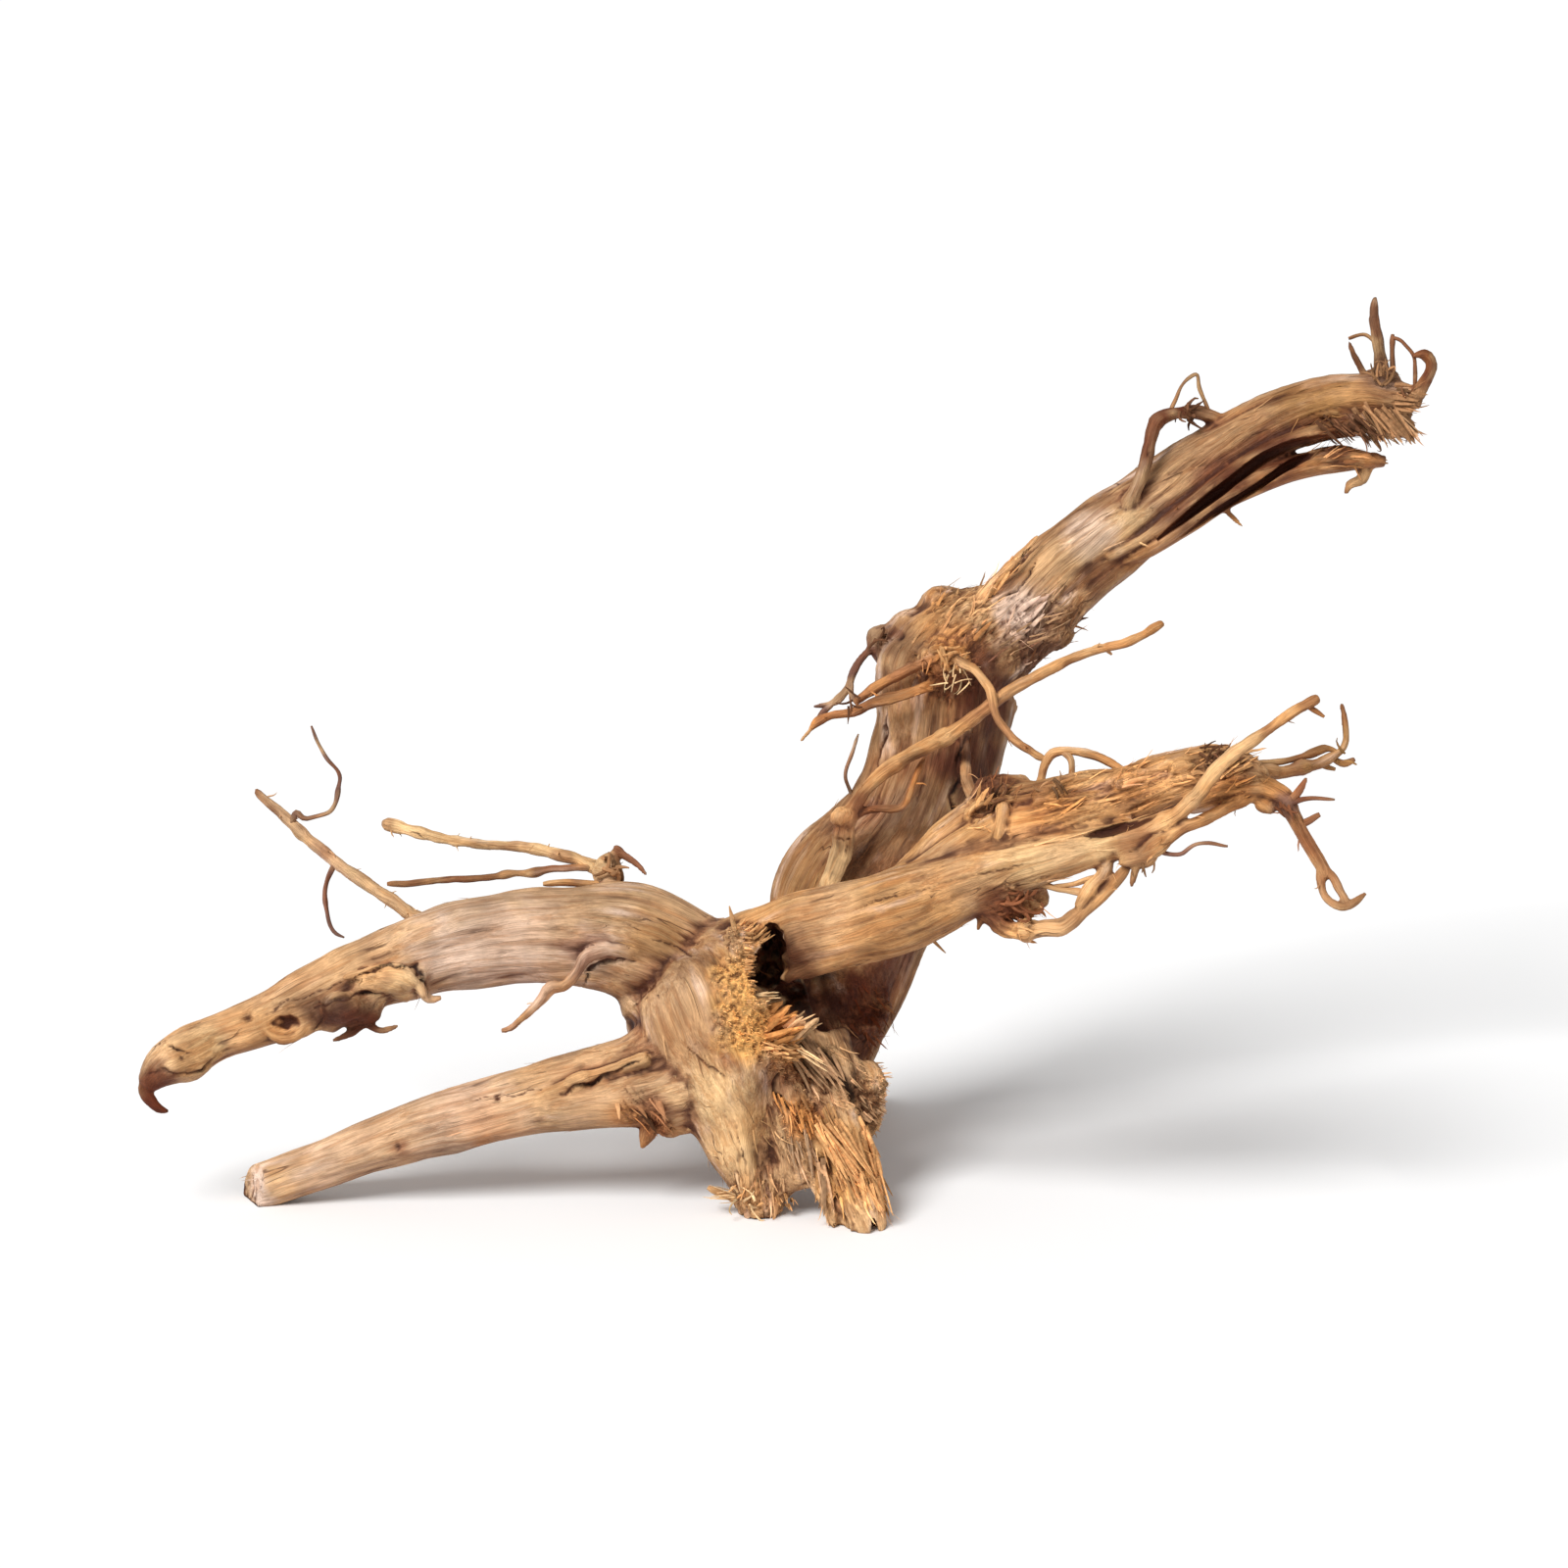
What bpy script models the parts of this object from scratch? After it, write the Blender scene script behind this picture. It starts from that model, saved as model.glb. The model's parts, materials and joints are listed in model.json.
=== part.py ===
"""Bogwood root: one weathered root, 450 mm from tip to tip, that stands on a torn foot, a rear leg and one arm.

Every limb and rootlet is drawn as a route seen square-on from the showing side. A route point is
(across, up, back, width) in millimetres: across and up lie in the picture plane, back is the depth
behind it, and width is what the eye sees there. seen() turns such a point into the object's frame,
which has +X to the right, +Y away from the showing side, +Z up and its origin under the foot.
"""

import math
import random

import bmesh
import bpy
import numpy as np
from mathutils import Vector, noise

MM = 0.001
EYE_DISTANCE = 1800.0
EYE_TILT = math.radians(15.0)
FOOT_POINT = (-8.0, -145.5, -12.0)
SEED = 11

WOOD_COLOUR = (0.52, 0.33, 0.17, 1.0)
WOOD_ROUGHNESS = 0.62

BODY_VOXEL = 2.4 * MM
BODY_SMOOTHING = 4
BODY_TRIANGLES = 4900
KNOT_ROUGHNESS = 0.2
LIMB_STEP = 6.0
LIMB_SIDES = 20
ROOTLET_STEP = 12.0
ROOTLET_SIDES = 5
HAIR_WIDTH = 3.2
HAIR_SIDES = 4
STRIP_SIDES = 8

# The thick limbs. Each is (thickness, flute depth, route): thickness is depth over width.
LIMBS = {
    "arched_arm": (1.0, 0.05, [
        (-18, -76, 4, 40), (-36, -60, 0, 39), (-53, -52.8, -3, 39.5), (-70, -51.3, -7, 34.5),
        (-90, -51.6, -11, 31.5), (-107, -53.7, -14, 30.5), (-123, -57.8, -16, 27.5), (-138, -63.2, -18, 24.5),
        (-153, -70, -20, 22.5), (-167, -76.5, -22, 20.5), (-180, -82, -24, 17), (-192, -86.3, -25, 15.5),
        (-201.5, -91, -26, 17), (-210, -95.5, -27, 14.5), (-214.5, -99.5, -28, 10.5), (-217.5, -103.5, -28, 6.5),
    ]),
    "lower_arm": (0.95, 0.04, [
        (-14, -86, -2, 42), (-36.5, -96.5, -8, 39), (-50, -101, -10, 32), (-66.7, -104, -10, 27),
        (-83, -107.2, -9, 24), (-100, -111.5, -8, 22), (-117, -115.7, -7, 21.5), (-133, -120.7, -6, 19),
        (-150, -126.7, -5, 17.5), (-167, -132.8, -4, 16.5), (-183.5, -138.6, -3.5, 15.5),
    ]),
    "hub": (1.0, 0.06, [
        (-36, -57, 2, 24), (-29, -64, 0, 53), (-22.5, -80, -3, 60), (-15.5, -98, -6, 52), (-12, -117, -9, 37),
        (-9.5, -132, -11, 27), (-8.5, -140, -12, 22), (-8, -150, -12, 19),
    ]),
    "torn_foot": (0.75, 0.08, [
        (2, -92, 2, 42), (9.5, -110, -6, 39), (14, -123, -14, 32), (20, -135, -19, 27), (25, -146, -24, 23),
        (28, -155, -27, 17),
    ]),
    "trunk": (0.75, 0.06, [
        (6, -104, 14, 34), (9.5, -91, 20, 41), (14.5, -74, 26, 47), (20.5, -58, 30, 50), (24, -45, 32, 57),
        (29, -35, 33, 55), (36.5, -24, 33, 48), (44, -13, 33, 46), (50, 3, 32, 45), (53.5, 20, 31, 46),
        (55.5, 35, 31, 50), (62.5, 45.2, 31, 46), (71.5, 51.3, 31, 38), (80.5, 57.3, 32, 33), (91, 68.5, 33, 31.5),
        (101.5, 77.5, 34, 30), (116, 89, 34, 28), (127.5, 98, 33, 25), (141, 108.5, 31, 21.5),
        (157.7, 119.5, 28, 19), (175, 128, 24, 17), (195, 132.5, 19, 14.5), (214, 129.5, 15, 12.5),
    ]),
    "forward_branch": (0.8, 0.05, [
        (-20, -66, 2, 34), (-13, -60.5, -5, 32), (-3, -55.2, -14, 29.5), (10, -50, -26, 29),
        (27, -45.7, -38, 28.5), (43.5, -40.5, -48, 28.5), (60, -34, -56, 24.5), (77, -28.7, -62, 20),
        (93, -24.3, -67, 16.5), (110, -20.3, -71, 13), (124, -16.5, -74, 10.5), (134, -11.5, -76, 9),
    ]),
    "branch_log": (0.85, 0.09, [
        (41, -38, -44, 18), (58.5, -25, -47, 26), (73.5, -16.7, -51, 28), (88.5, -13, -54, 26.5),
        (103.5, -8.7, -58, 25), (118, -4.2, -61, 19.5), (133, 1.6, -64, 18.5), (148, 4.6, -66, 17), (158, 3.5, -67, 13),
    ]),
    "torn_rag": (1.3, 0.10, [
        (180, 128, 24, 9), (195, 124, 21, 13), (207, 119.5, 18, 14), (216, 115.5, 16, 9),
    ]),
}
# A root that runs away from the eye down to the ground, where it is hidden behind the foot.
REAR_LEG = (1.0, 0.07, [
    (15, -66, 16, 46), (14, -82, 42, 37), (15, -95, 66, 29), (18, -105, 88, 25), (18.5, -113, 106, 23), (16, -120, 116, 24),
])

# Split strips that lie along the trunk, as (thickness, route).
STRIPS = {
    "hanging_strip": (1.9, [
        (112, 75, 32, 6), (125, 81.5, 31, 8), (137, 89.6, 30, 9), (150, 98, 28, 9.3), (165, 104.9, 26, 9.3),
        (180, 109, 24, 8.5), (192, 110.3, 22, 7.5), (204.5, 109.5, 21, 3.4),
    ]),
    "inner_strip": (3.0, [
        (110, 77, 31, 5), (123, 84, 30, 5), (137, 94.5, 28, 5.5), (152, 105.5, 27, 6.5),
        (167, 114.2, 25, 6.5), (182, 119.5, 23, 6), (196, 121.5, 21, 4),
    ]),
}

# The lumps and knots: (across, up, back, width, height, depth).
KNOTS = {
    "arm_lump_high": (-130, -67, -24, 17, 13, 14),
    "arm_lump": (-145, -75, -25, 18, 14, 15),
    "arm_lump_low": (-155, -79, -26, 15, 11, 12),
    "eye_ring": (-169, -80.5, -30, 16, 13, 9),
    "arm_tip_knuckle": (-203, -97, -28, 13, 9, 10),
    "arm_knot": (-59, -28.5, 8, 14, 17, 13),
    "arm_pit": (-38, -111, -10, 24, 17, 18),
    "arm_crotch": (-50, -75, -4, 12, 12, 20),
    "elbow_cap": (54, 62.5, 30, 15, 11, 15),
    "elbow_side": (42.5, 54, 30, 14, 10, 14),
    "elbow_stub": (32.5, 48.5, 30, 10, 12, 11),
    "elbow_under": (89, 50.5, 31, 19, 12, 18),
    "trunk_knot": (55, 41, 12, 18, 13, 12),
    "lower_arm_swell": (-62, -113, -12, 20, 8, 12),
    "foot_pad": (-8.5, -143, -12, 25, 16, 20),
    "foot_web": (8, -128, -12, 24, 20, 18),
    "branch_end_knot": (158, 2.5, -69, 14, 13, 11),
    "log_shoulder": (75, -5, -46, 24, 17, 18),
    "branch_web": (112, -12, -60, 34, 14, 11),
    "fibre_clump": (77, -39, -60, 26, 14, 9),
    "strip_knot": (121, -24.5, -76, 13, 9, 8),
    "trunk_end_tuft": (203, 137, 20, 15, 10, 12),
    "stump_ridge": (22, -107, -2, 25, 32, 20),
    "mouth_lip_high": (-15, -57, -21, 13, 19, 14),
    "mouth_lip": (-12, -75, -26, 15, 24, 14),
    "mouth_lip_low": (-6, -92, -20, 20, 15, 14),
}

# Thin roots, twigs and curls.
ROOTLETS = {
    "long_stick": [
        (14.5, -37, 10, 8), (19.5, -23, 7, 8), (20.7, -15, 4, 8.5), (24, -7, 3, 5.5), (32, 2, 2, 6),
        (43, 10, 0, 6), (57, 17, -3, 6), (70, 27, -6, 5.7), (83, 35, -9, 5.3), (97, 42.3, -12, 4.8),
        (110, 46.5, -15, 4.3), (120, 50, -17, 4), (128.5, 54.7, -19, 3.6),
    ],
    "long_stick_twig": [(103, 45, -13, 2.6), (108, 46.5, -12, 2.6), (111.5, 44, -11, 1.6)],
    "bent_twig": [(21, -13, 4, 4), (28, -9, 5, 3.2), (37, -8, 5, 3), (41.5, 0, 6, 2.8), (46, 7, 12, 2.4)],
    "crossing_twig": [
        (54, 44, 12, 5), (63, 40.3, -2, 4.4), (69.6, 32.5, -8, 4), (73, 21.5, -16, 3.7), (80.5, 14, -26, 3.4),
        (90, 8, -44, 2.8),
    ],
    "left_twig_low": [
        (58, 37, 16, 5), (47, 32.5, 8, 4.6), (33.3, 28.3, 9, 4.6), (25, 24.8, 13, 4), (16.7, 23.2, 14, 3.4),
        (11.5, 21, 14, 4), (8.7, 18, 13, 1.8), (5.6, 14.4, 13, 1.9),
    ],
    "left_twig_high": [(62, 46, 18, 5), (50, 42, 7, 4.8), (38.3, 36.7, 10, 4.4), (30, 32.3, 15, 3.8), (24, 27.5, 15, 3.6)],
    "left_twig_back": [
        (33, 49, 30, 4), (26.5, 43.3, 28, 3.2), (23.3, 37.3, 26, 3.6), (21.5, 32.5, 24, 3.6), (17, 27.6, 22, 3),
        (10, 26.4, 20, 1.8),
    ],
    "left_twig_fork": [(23, 36, 25, 2.4), (22.6, 31.5, 22, 2.2), (25, 27, 17, 2.4)],
    "left_twig_join": [(17, 27.6, 22, 2.6), (13, 24.3, 18, 2.6), (10.5, 19.8, 14, 2.4)],
    "side_hair": [(25.3, 17, 22, 1.2), (22.8, 10, 20, 1.6), (21, 2.5, 22, 1.7), (24, -6, 30, 1.7)],
    "down_stick": [(62, 22, 16, 4.6), (61, 6, 6, 4.8), (64, -5, -14, 4.8), (67.5, -15, -34, 4.4)],
    "arch_root": [
        (86, -6, -52, 3.8), (89.3, 8, -46, 3.6), (94.5, 11.4, -46, 3.6), (105, 9.9, -50, 3.6), (115, 4.6, -56, 3),
        (121, 1, -60, 2.6),
    ],
    "arch_post": [(93.5, 11.5, -46, 2.8), (98, 7.5, -48, 2.8), (97, -3, -52, 3)],
    "shoulder_curl": [(66, -12, -46, 3.6), (68, 0, -44, 3), (76, 5, -46, 3), (86, -5, -50, 3.2)],
    "pale_stub": [(75, -1, -51, 4.4), (73.8, -10, -63, 4.8), (72.8, -20, -63, 4)],
    "light_stick": [
        (118, -17.5, -74, 6), (130, -13.5, -77, 7.5), (139.5, -5, -81, 7), (147, 4.4, -84, 6.4), (155, 11.5, -86, 5.8),
        (170, 22.5, -90, 4.9), (182, 29.5, -92, 4.4),
    ],
    "light_stick_twig": [(177, 27, -91, 2.8), (181, 24.7, -91, 2.2), (183.8, 22.8, -91, 1.7)],
    "hook_root": [
        (136, -7, -68, 10), (150, -3, -70, 11), (160, -1.5, -72, 11), (168, -4, -74, 9.5), (171.5, -9, -76, 7.8),
        (175.1, -15.5, -79, 5.8), (180, -23, -81, 5.4), (185, -31.5, -84, 4.4),
    ],
    "hook_loop": [
        (182.5, -27, -82, 3.6), (182.6, -35, -85, 3), (184.8, -39.8, -87, 3), (189, -41.7, -88, 3.6), (194, -40, -88, 3.2),
        (198, -37, -88, 2.2),
    ],
    "hook_strand": [(185, -29, -83, 3.6), (188.8, -34.5, -85, 3.2), (191.5, -41, -88, 3.2)],
    "end_curl": [
        (152, 4, -66, 5.5), (162, 5, -64, 5), (168.2, 3.9, -62, 5), (176, 5.3, -60, 4.6), (183.5, 7.8, -58, 4.4),
        (190, 12, -57, 3), (191.8, 18, -57, 2.8), (189.6, 27.5, -58, 2.2),
    ],
    "end_curl_upper": [(161, 7.3, -62, 3), (169.4, 7.6, -60, 2.6), (177, 9.8, -58, 2.6), (184, 12.2, -57, 2.6), (189, 10.5, -57, 2.4)],
    "end_claw": [(186, 9, -57, 2.6), (190.5, 7, -56, 3), (194, 8.4, -55, 3.2)],
    "end_claw_low": [(182, 6.5, -57, 2.4), (187.5, 5, -56, 2.4)],
    "hook_knuckle": [(161, -6, -73, 8), (167, -9, -75, 6)],
    "hook_spur": [(170.5, -8, -77, 3.6), (175, -2.3, -78, 3.4), (177.8, 2.2, -78, 2.8)],
    "hook_spur_fine": [(171, -7, -77, 3), (179, -5, -79, 1.8), (187.4, -5.3, -80, 1.4)],
    "hook_spur_low": [(174, -14.3, -78, 3.2), (182.3, -10.3, -79, 2.8)],
    "under_strip": [
        (164, -2, -72, 6), (150, -8.2, -75, 5.2), (141, -13.2, -77, 5), (134, -16.3, -79, 5), (122, -24, -79, 6),
        (114, -27, -76, 4),
    ],
    "strip_spur": [(121, -25, -77, 4), (118, -35, -77, 2.2)],
    "strip_whisker": [
        (126, -22.5, -78, 2), (134.4, -24.2, -80, 1.7), (141, -20.6, -82, 1.6), (151, -21.2, -83, 1.4),
    ],
    "under_root": [
        (64, -40, -56, 6.5), (70, -46, -58, 6.5), (76.7, -49.8, -62, 7), (87.5, -49.3, -66, 7), (94.5, -49, -68, 7.2),
        (101, -43.8, -69, 6), (109, -37.5, -71, 5.2), (114, -32, -73, 3.6), (118.5, -25.5, -74, 3),
    ],
    "under_knuckle": [(108, -20, -70, 5.5), (109.2, -29.5, -71, 6), (105, -35, -71, 6), (100, -42, -70, 5)],
    "under_twig": [(82, -33, -64, 2.8), (96.5, -36.7, -68, 2.2), (110, -37.8, -71, 2.4)],
    "under_twig_high": [(90, -35, -66, 2), (98, -34.8, -68, 2), (106, -31.5, -70, 3)],
    "under_spur": [(68, -42, -57, 4), (65.8, -50, -58, 2.2)],
    "far_stick": [
        (-179.8, -2.2, 44, 3.6), (-167, -13.6, 36, 4.8), (-153, -26, 27, 5), (-138.5, -36.3, 18, 5.4),
        (-124, -45.6, 8, 5.6), (-108, -54, -6, 5.4),
    ],
    "far_curl": [
        (-167.5, -14, 35, 2.8), (-165.6, -9.5, 33, 2.6), (-162, -11.6, 33, 2), (-154.5, -9, 31, 1.8), (-151, -1, 30, 1.8),
        (-151.3, 4, 30, 1.7), (-157, 10.5, 30, 1.6), (-160.8, 19.8, 30, 1.3),
    ],
    "far_drop": [
        (-152.5, -26, 27, 2.4), (-156, -35.5, 25, 2), (-155.3, -44, 23, 1.8), (-153, -50.2, 22, 1.7), (-149.6, -52.2, 21, 1.4),
    ],
    "rear_stick": [
        (-136.7, -13.2, 42, 4), (-123, -16.5, 35, 4.2), (-107, -19.7, 28, 4.2), (-90, -21.3, 22, 4.6),
        (-75, -24.5, 16, 5.2), (-65, -28, 12, 5.8), (-58, -30, 8, 6),
    ],
    "rear_twig": [(-135, -34, 24, 2.6), (-120, -33, 23, 2.8), (-100, -31.5, 20, 2.9), (-80, -29.3, 15, 3), (-62, -28, 10, 3)],
    "knot_whisker": [(-58, -22, 8, 4), (-50.5, -26.5, 6, 2.4), (-46.8, -31, 5, 1.6)],
    "arm_top_root": [(-82, -34, 3, 3), (-70, -33.5, 4, 3.2), (-58, -34, 5, 3)],
    "arm_rootlet": [
        (-46, -60, -14, 4.6), (-53, -57, -21, 4.6), (-62, -56.3, -24, 4.8), (-70, -59.5, -26, 5), (-72.7, -66, -28, 5.4),
        (-80, -71, -29, 4.4), (-87, -77.2, -29, 3.6), (-96, -83.5, -29, 2.8),
    ],
    "claw_left": [(-141, -80, -25, 4), (-147, -84.5, -27, 3), (-153.8, -87.4, -28, 1.8)],
    "claw_right": [(-143, -81, -25, 3.6), (-137, -83.6, -27, 2.8), (-131, -82.2, -28, 1.8)],
    "arm_curl": [(-125, -60, -25, 4.8), (-123.5, -69.5, -27, 4.4), (-120.8, -73.2, -27, 3.8), (-116.3, -72.6, -26, 2.8)],
    "tip_claw": [(-218, -102, -28, 6.5), (-216.5, -107.3, -28, 5.6), (-213.5, -110.3, -28, 4), (-209.3, -111.5, -28, 2.2)],
    "trunk_branchlet": [
        (115, 91, 30, 9), (119.7, 101, 22, 7.4), (123.3, 111, 20, 6.4), (125, 118.5, 21, 6.4), (127.3, 124, 24, 7),
        (133.5, 126, 26, 6.2), (140.5, 126.3, 28, 6.2), (148, 123.7, 30, 5.8), (156, 120.5, 31, 4),
    ],
    "branchlet_loop": [
        (131, 126, 26, 2.2), (134.3, 134, 26, 1.5), (139.9, 139.4, 26, 1.5), (141.4, 134, 27, 1.5), (144.5, 127, 28, 2),
    ],
    "spike": [(203.3, 134, 22, 8), (202.8, 146.5, 22, 5.4), (200.9, 157.4, 22, 4.6), (201, 166, 22, 2)],
    "end_root": [(213, 128, 14, 6.4), (217.8, 136, 12, 5), (220.2, 142.3, 12, 4.8), (217.5, 146, 12, 4), (213.6, 145.3, 13, 2.4)],
    "tuft_strand": [(199.5, 134, 22, 4), (195.5, 143, 25, 3), (192, 150.5, 25, 2)],
    "tuft_loop": [(202.5, 148, 23, 1.8), (198, 153, 24, 1.7), (192, 151.5, 25, 1.8)],
    "tuft_post": [(207.5, 132, 17, 3.2), (207.2, 141, 17, 2.4), (207, 153, 17, 1.8)],
    "end_loop": [(206.5, 152, 17, 1.8), (210.5, 150.5, 15, 1.6), (214.5, 144.5, 14, 1.6), (214.5, 134, 13, 2)],
    "strip_claw": [(198, 110, 22, 6), (197, 104, 22, 5), (192.5, 101.8, 22, 3.6), (191.2, 98.6, 22, 2.4)],
    "strip_thorn": [(148, 96, 28, 3.4), (152, 91.5, 28, 2.4), (156, 87.4, 28, 1.3)],
    "foot_twig": [(-11, -144, -14, 3.2), (-19, -140.8, -15, 2.8), (-26, -137.2, -15, 2.6)],
    "arm_thorn": [(-43, -110, -12, 9), (-46, -117.5, -14, 7.4), (-48.4, -124, -15, 2.6)],
    "lower_ridge": [(-46, -93, -25, 4.6), (-58, -97, -23, 5), (-70, -101, -22, 5), (-82, -105.5, -20, 4)],
    "rear_rootlet": [(12, -98, 76, 9), (2, -106, 92, 6), (-8, -108, 104, 4.6), (-20, -112, 110, 2.6)],
    "rear_twig_high": [(46, -10, 40, 6.5), (44, -2, 60, 5), (48, 10, 76, 4), (42, 17, 92, 2.6)],
}

# Hollows carved out of the fused wood: (across, up, back, width, height, depth, roughness).
HOLLOWS = {
    "mouth": (4, -70, -16, 27, 34, 50, 0.5),
    "throat": (15, -80, 4, 26, 30, 32, 0.5),
    "cleft": (19, -93, -6, 10, 26, 20, 0.4),
    "eye": (-169, -80.8, -36, 7, 5.5, 12, 0.0),
}

# Torn edges that stand splinters: (from, to, pull, count, length), each place as (across, up, back).
TORN_EDGES = {
    "mouth_rim": ((-13, -50, -22), (-7, -86, -28), (0.9, 0.0, -0.35), 12, 6.0),
    "mouth_floor": ((-6, -84, -24), (8, -96, -20), (0.75, 0.55, -0.3), 14, 13.0),
    "foot_tip": ((17, -146, -22), (31, -140, -24), (0.3, -0.95, -0.1), 9, 10.0),
    "foot_inside": ((10, -133, -18), (18, -143, -20), (-0.1, -1.0, -0.1), 6, 9.0),
    "foot_heel": ((-17, -143, -14), (1, -145, -16), (-0.1, -1.0, -0.2), 9, 6.0),
    "stump_edge": ((26, -92, -2), (27, -124, -8), (0.9, -0.4, -0.1), 12, 7.0),
    "rag_end": ((212, 122, 15), (215, 113, 16), (0.85, -0.5, 0.0), 8, 7.0),
    "rag_under": ((195, 119, 20), (211, 114, 16), (0.35, -0.9, 0.0), 7, 5.0),
    "trunk_end": ((213, 134, 13), (213, 124, 17), (1.0, -0.1, 0.1), 7, 6.0),
    "rear_leg_end": ((10, -117, 122), (24, -117, 122), (0.1, -0.4, 0.9), 8, 7.0),
}


def seen(across, up, back):
    """A drawn point, in millimetres, as a place in the object's frame, in metres."""
    spread = 1 + back / EYE_DISTANCE
    across, up = across * spread, up * spread
    level = math.sin(EYE_TILT), math.cos(EYE_TILT)
    return Vector((across, up * level[0] + back * level[1], up * level[1] - back * level[0])) * MM


ORIGIN = seen(*FOOT_POINT)
EYE_LINE = Vector((0, math.cos(EYE_TILT), -math.sin(EYE_TILT)))
EYE_UP = Vector((0, math.sin(EYE_TILT), math.cos(EYE_TILT)))


def placed(across, up, back):
    """A drawn point relative to the origin under the foot."""
    return seen(across, up, back) - ORIGIN


def smooth_route(points, step):
    """Places and radii, in metres, at about every step millimetres of a smooth curve through the drawn points."""
    knots = [(placed(*p[:3]), p[3] / 2 * MM) for p in points]
    knots = [knots[0], *knots, knots[-1]]
    places, radii = [], []
    for a, b, c, d in zip(knots, knots[1:], knots[2:], knots[3:]):
        count = max(1, round((c[0] - b[0]).length / (step * MM)))
        for k in range(count):
            t = k / count
            weights = (
                (-t + 2 * t**2 - t**3) / 2,
                (2 - 5 * t**2 + 3 * t**3) / 2,
                (t + 4 * t**2 - 3 * t**3) / 2,
                (t**3 - t**2) / 2,
            )
            places.append(sum((w * q[0] for w, q in zip(weights, (a, b, c, d))), Vector()))
            radii.append(sum(w * q[1] for w, q in zip(weights, (a, b, c, d))))
    places.append(knots[-1][0])
    radii.append(knots[-1][1])
    return places, radii


def tangents(places):
    """Unit direction of the route at each place."""
    ends = [places[0], *places, places[-1]]
    return [(c - a).normalized() for a, c in zip(ends, ends[2:])]


def close_rings(bm, rings):
    """Skins a row of vertex rings and fans both ends."""
    for lower, upper in zip(rings, rings[1:]):
        for k in range(len(lower)):
            n = (k + 1) % len(lower)
            bm.faces.new((lower[k], lower[n], upper[n], upper[k]))
    for ring, flip in ((rings[0], True), (rings[-1], False)):
        middle = sum((v.co for v in ring), Vector()) / len(ring)
        tip = bm.verts.new(middle)
        for k in range(len(ring)):
            pair = (ring[k], ring[(k + 1) % len(ring)])
            bm.faces.new((*reversed(pair), tip) if flip else (*pair, tip))


def add_tube(bm, points, step, sides, thickness=1.0, flute=0.0, facing=EYE_LINE, phase=0.0):
    """A closed tube along a drawn route. Flutes are ribs and hollows that wind slowly round it."""
    places, radii = smooth_route(points, step)
    rings = []
    for row, (place, along, radius) in enumerate(zip(places, tangents(places), radii)):
        side = along.cross(facing).normalized()
        deep = side.cross(along)
        ring = []
        for k in range(sides):
            angle = 2 * math.pi * k / sides
            wind = angle + 0.05 * row + phase
            swell = 1 + flute * (math.sin(3 * wind) + 0.7 * math.sin(5 * wind + 1.3 + 0.11 * row))
            across = math.cos(angle) * radius * swell
            depth = math.sin(angle) * radius * swell * thickness
            ring.append(bm.verts.new(place + side * across + deep * depth))
        rings.append(ring)
    close_rings(bm, rings)


def add_blob(bm, across, up, back, width, height, depth, rough):
    """A closed egg of the seen width, height and depth, dented by noise."""
    made = bmesh.ops.create_icosphere(bm, subdivisions=3, radius=1.0)["verts"]
    centre = placed(across, up, back)
    for v in made:
        way = v.co.normalized()
        reach = 1 + rough * noise.noise(way * 2.3 + centre * 90)
        way = Vector((way.x * width, 0, 0)) + EYE_LINE * way.y * depth + EYE_UP * way.z * height
        v.co = centre + way * reach * MM / 2


def splinter_frame(rng, pull):
    """A direction that leans a little off the pull, with two directions square to it."""
    along = Vector((pull[0], 0, 0)) + EYE_UP * pull[1] + EYE_LINE * pull[2]
    along = (along.normalized() + Vector([rng.uniform(-0.3, 0.3) for _ in range(3)])).normalized()
    side = along.cross(Vector((rng.uniform(-1, 1), 0.3, rng.uniform(-1, 1)))).normalized()
    return along, side, side.cross(along)


def add_splinter(bm, root, frame, length, width):
    """A three-sided torn splinter that thins to its tip, with its root sunk in the wood."""
    along, side, deep = frame
    rings = []
    for share, size in ((-0.9, 1.0), (0.4, 0.85), (1.0, 0.14)):
        middle = root + along * length * share
        corners = ((1, -0.4), (0, 0.8), (-1, -0.4))
        rings.append([bm.verts.new(middle + (side * a + deep * b) * width * size / 2) for a, b in corners])
    close_rings(bm, rings)


def mesh_object(name, bm):
    """A new object from a bmesh, with its faces turned outwards."""
    bmesh.ops.recalc_face_normals(bm, faces=bm.faces)
    mesh = bpy.data.meshes.new(name)
    bm.to_mesh(mesh)
    bm.free()
    made = bpy.data.objects.new(name, mesh)
    bpy.context.scene.collection.objects.link(made)
    return made


def settle(obj):
    """Applies the object's modifiers."""
    bpy.context.view_layer.update()
    graph = bpy.context.evaluated_depsgraph_get()
    mesh = bpy.data.meshes.new_from_object(obj.evaluated_get(graph))
    obj.modifiers.clear()
    obj.data = mesh


def join_to(obj, others, operation):
    """A Boolean of obj with every object in the list, which are then removed."""
    group = bpy.data.collections.new("joined")
    for other in others:
        group.objects.link(other)
    boolean = obj.modifiers.new(operation.lower(), "BOOLEAN")
    boolean.operation = operation
    boolean.operand_type = "COLLECTION"
    boolean.collection = group
    boolean.solver = "EXACT"
    boolean.use_self = True
    settle(obj)
    for other in others:
        bpy.data.objects.remove(other)
    bpy.data.collections.remove(group)


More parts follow.
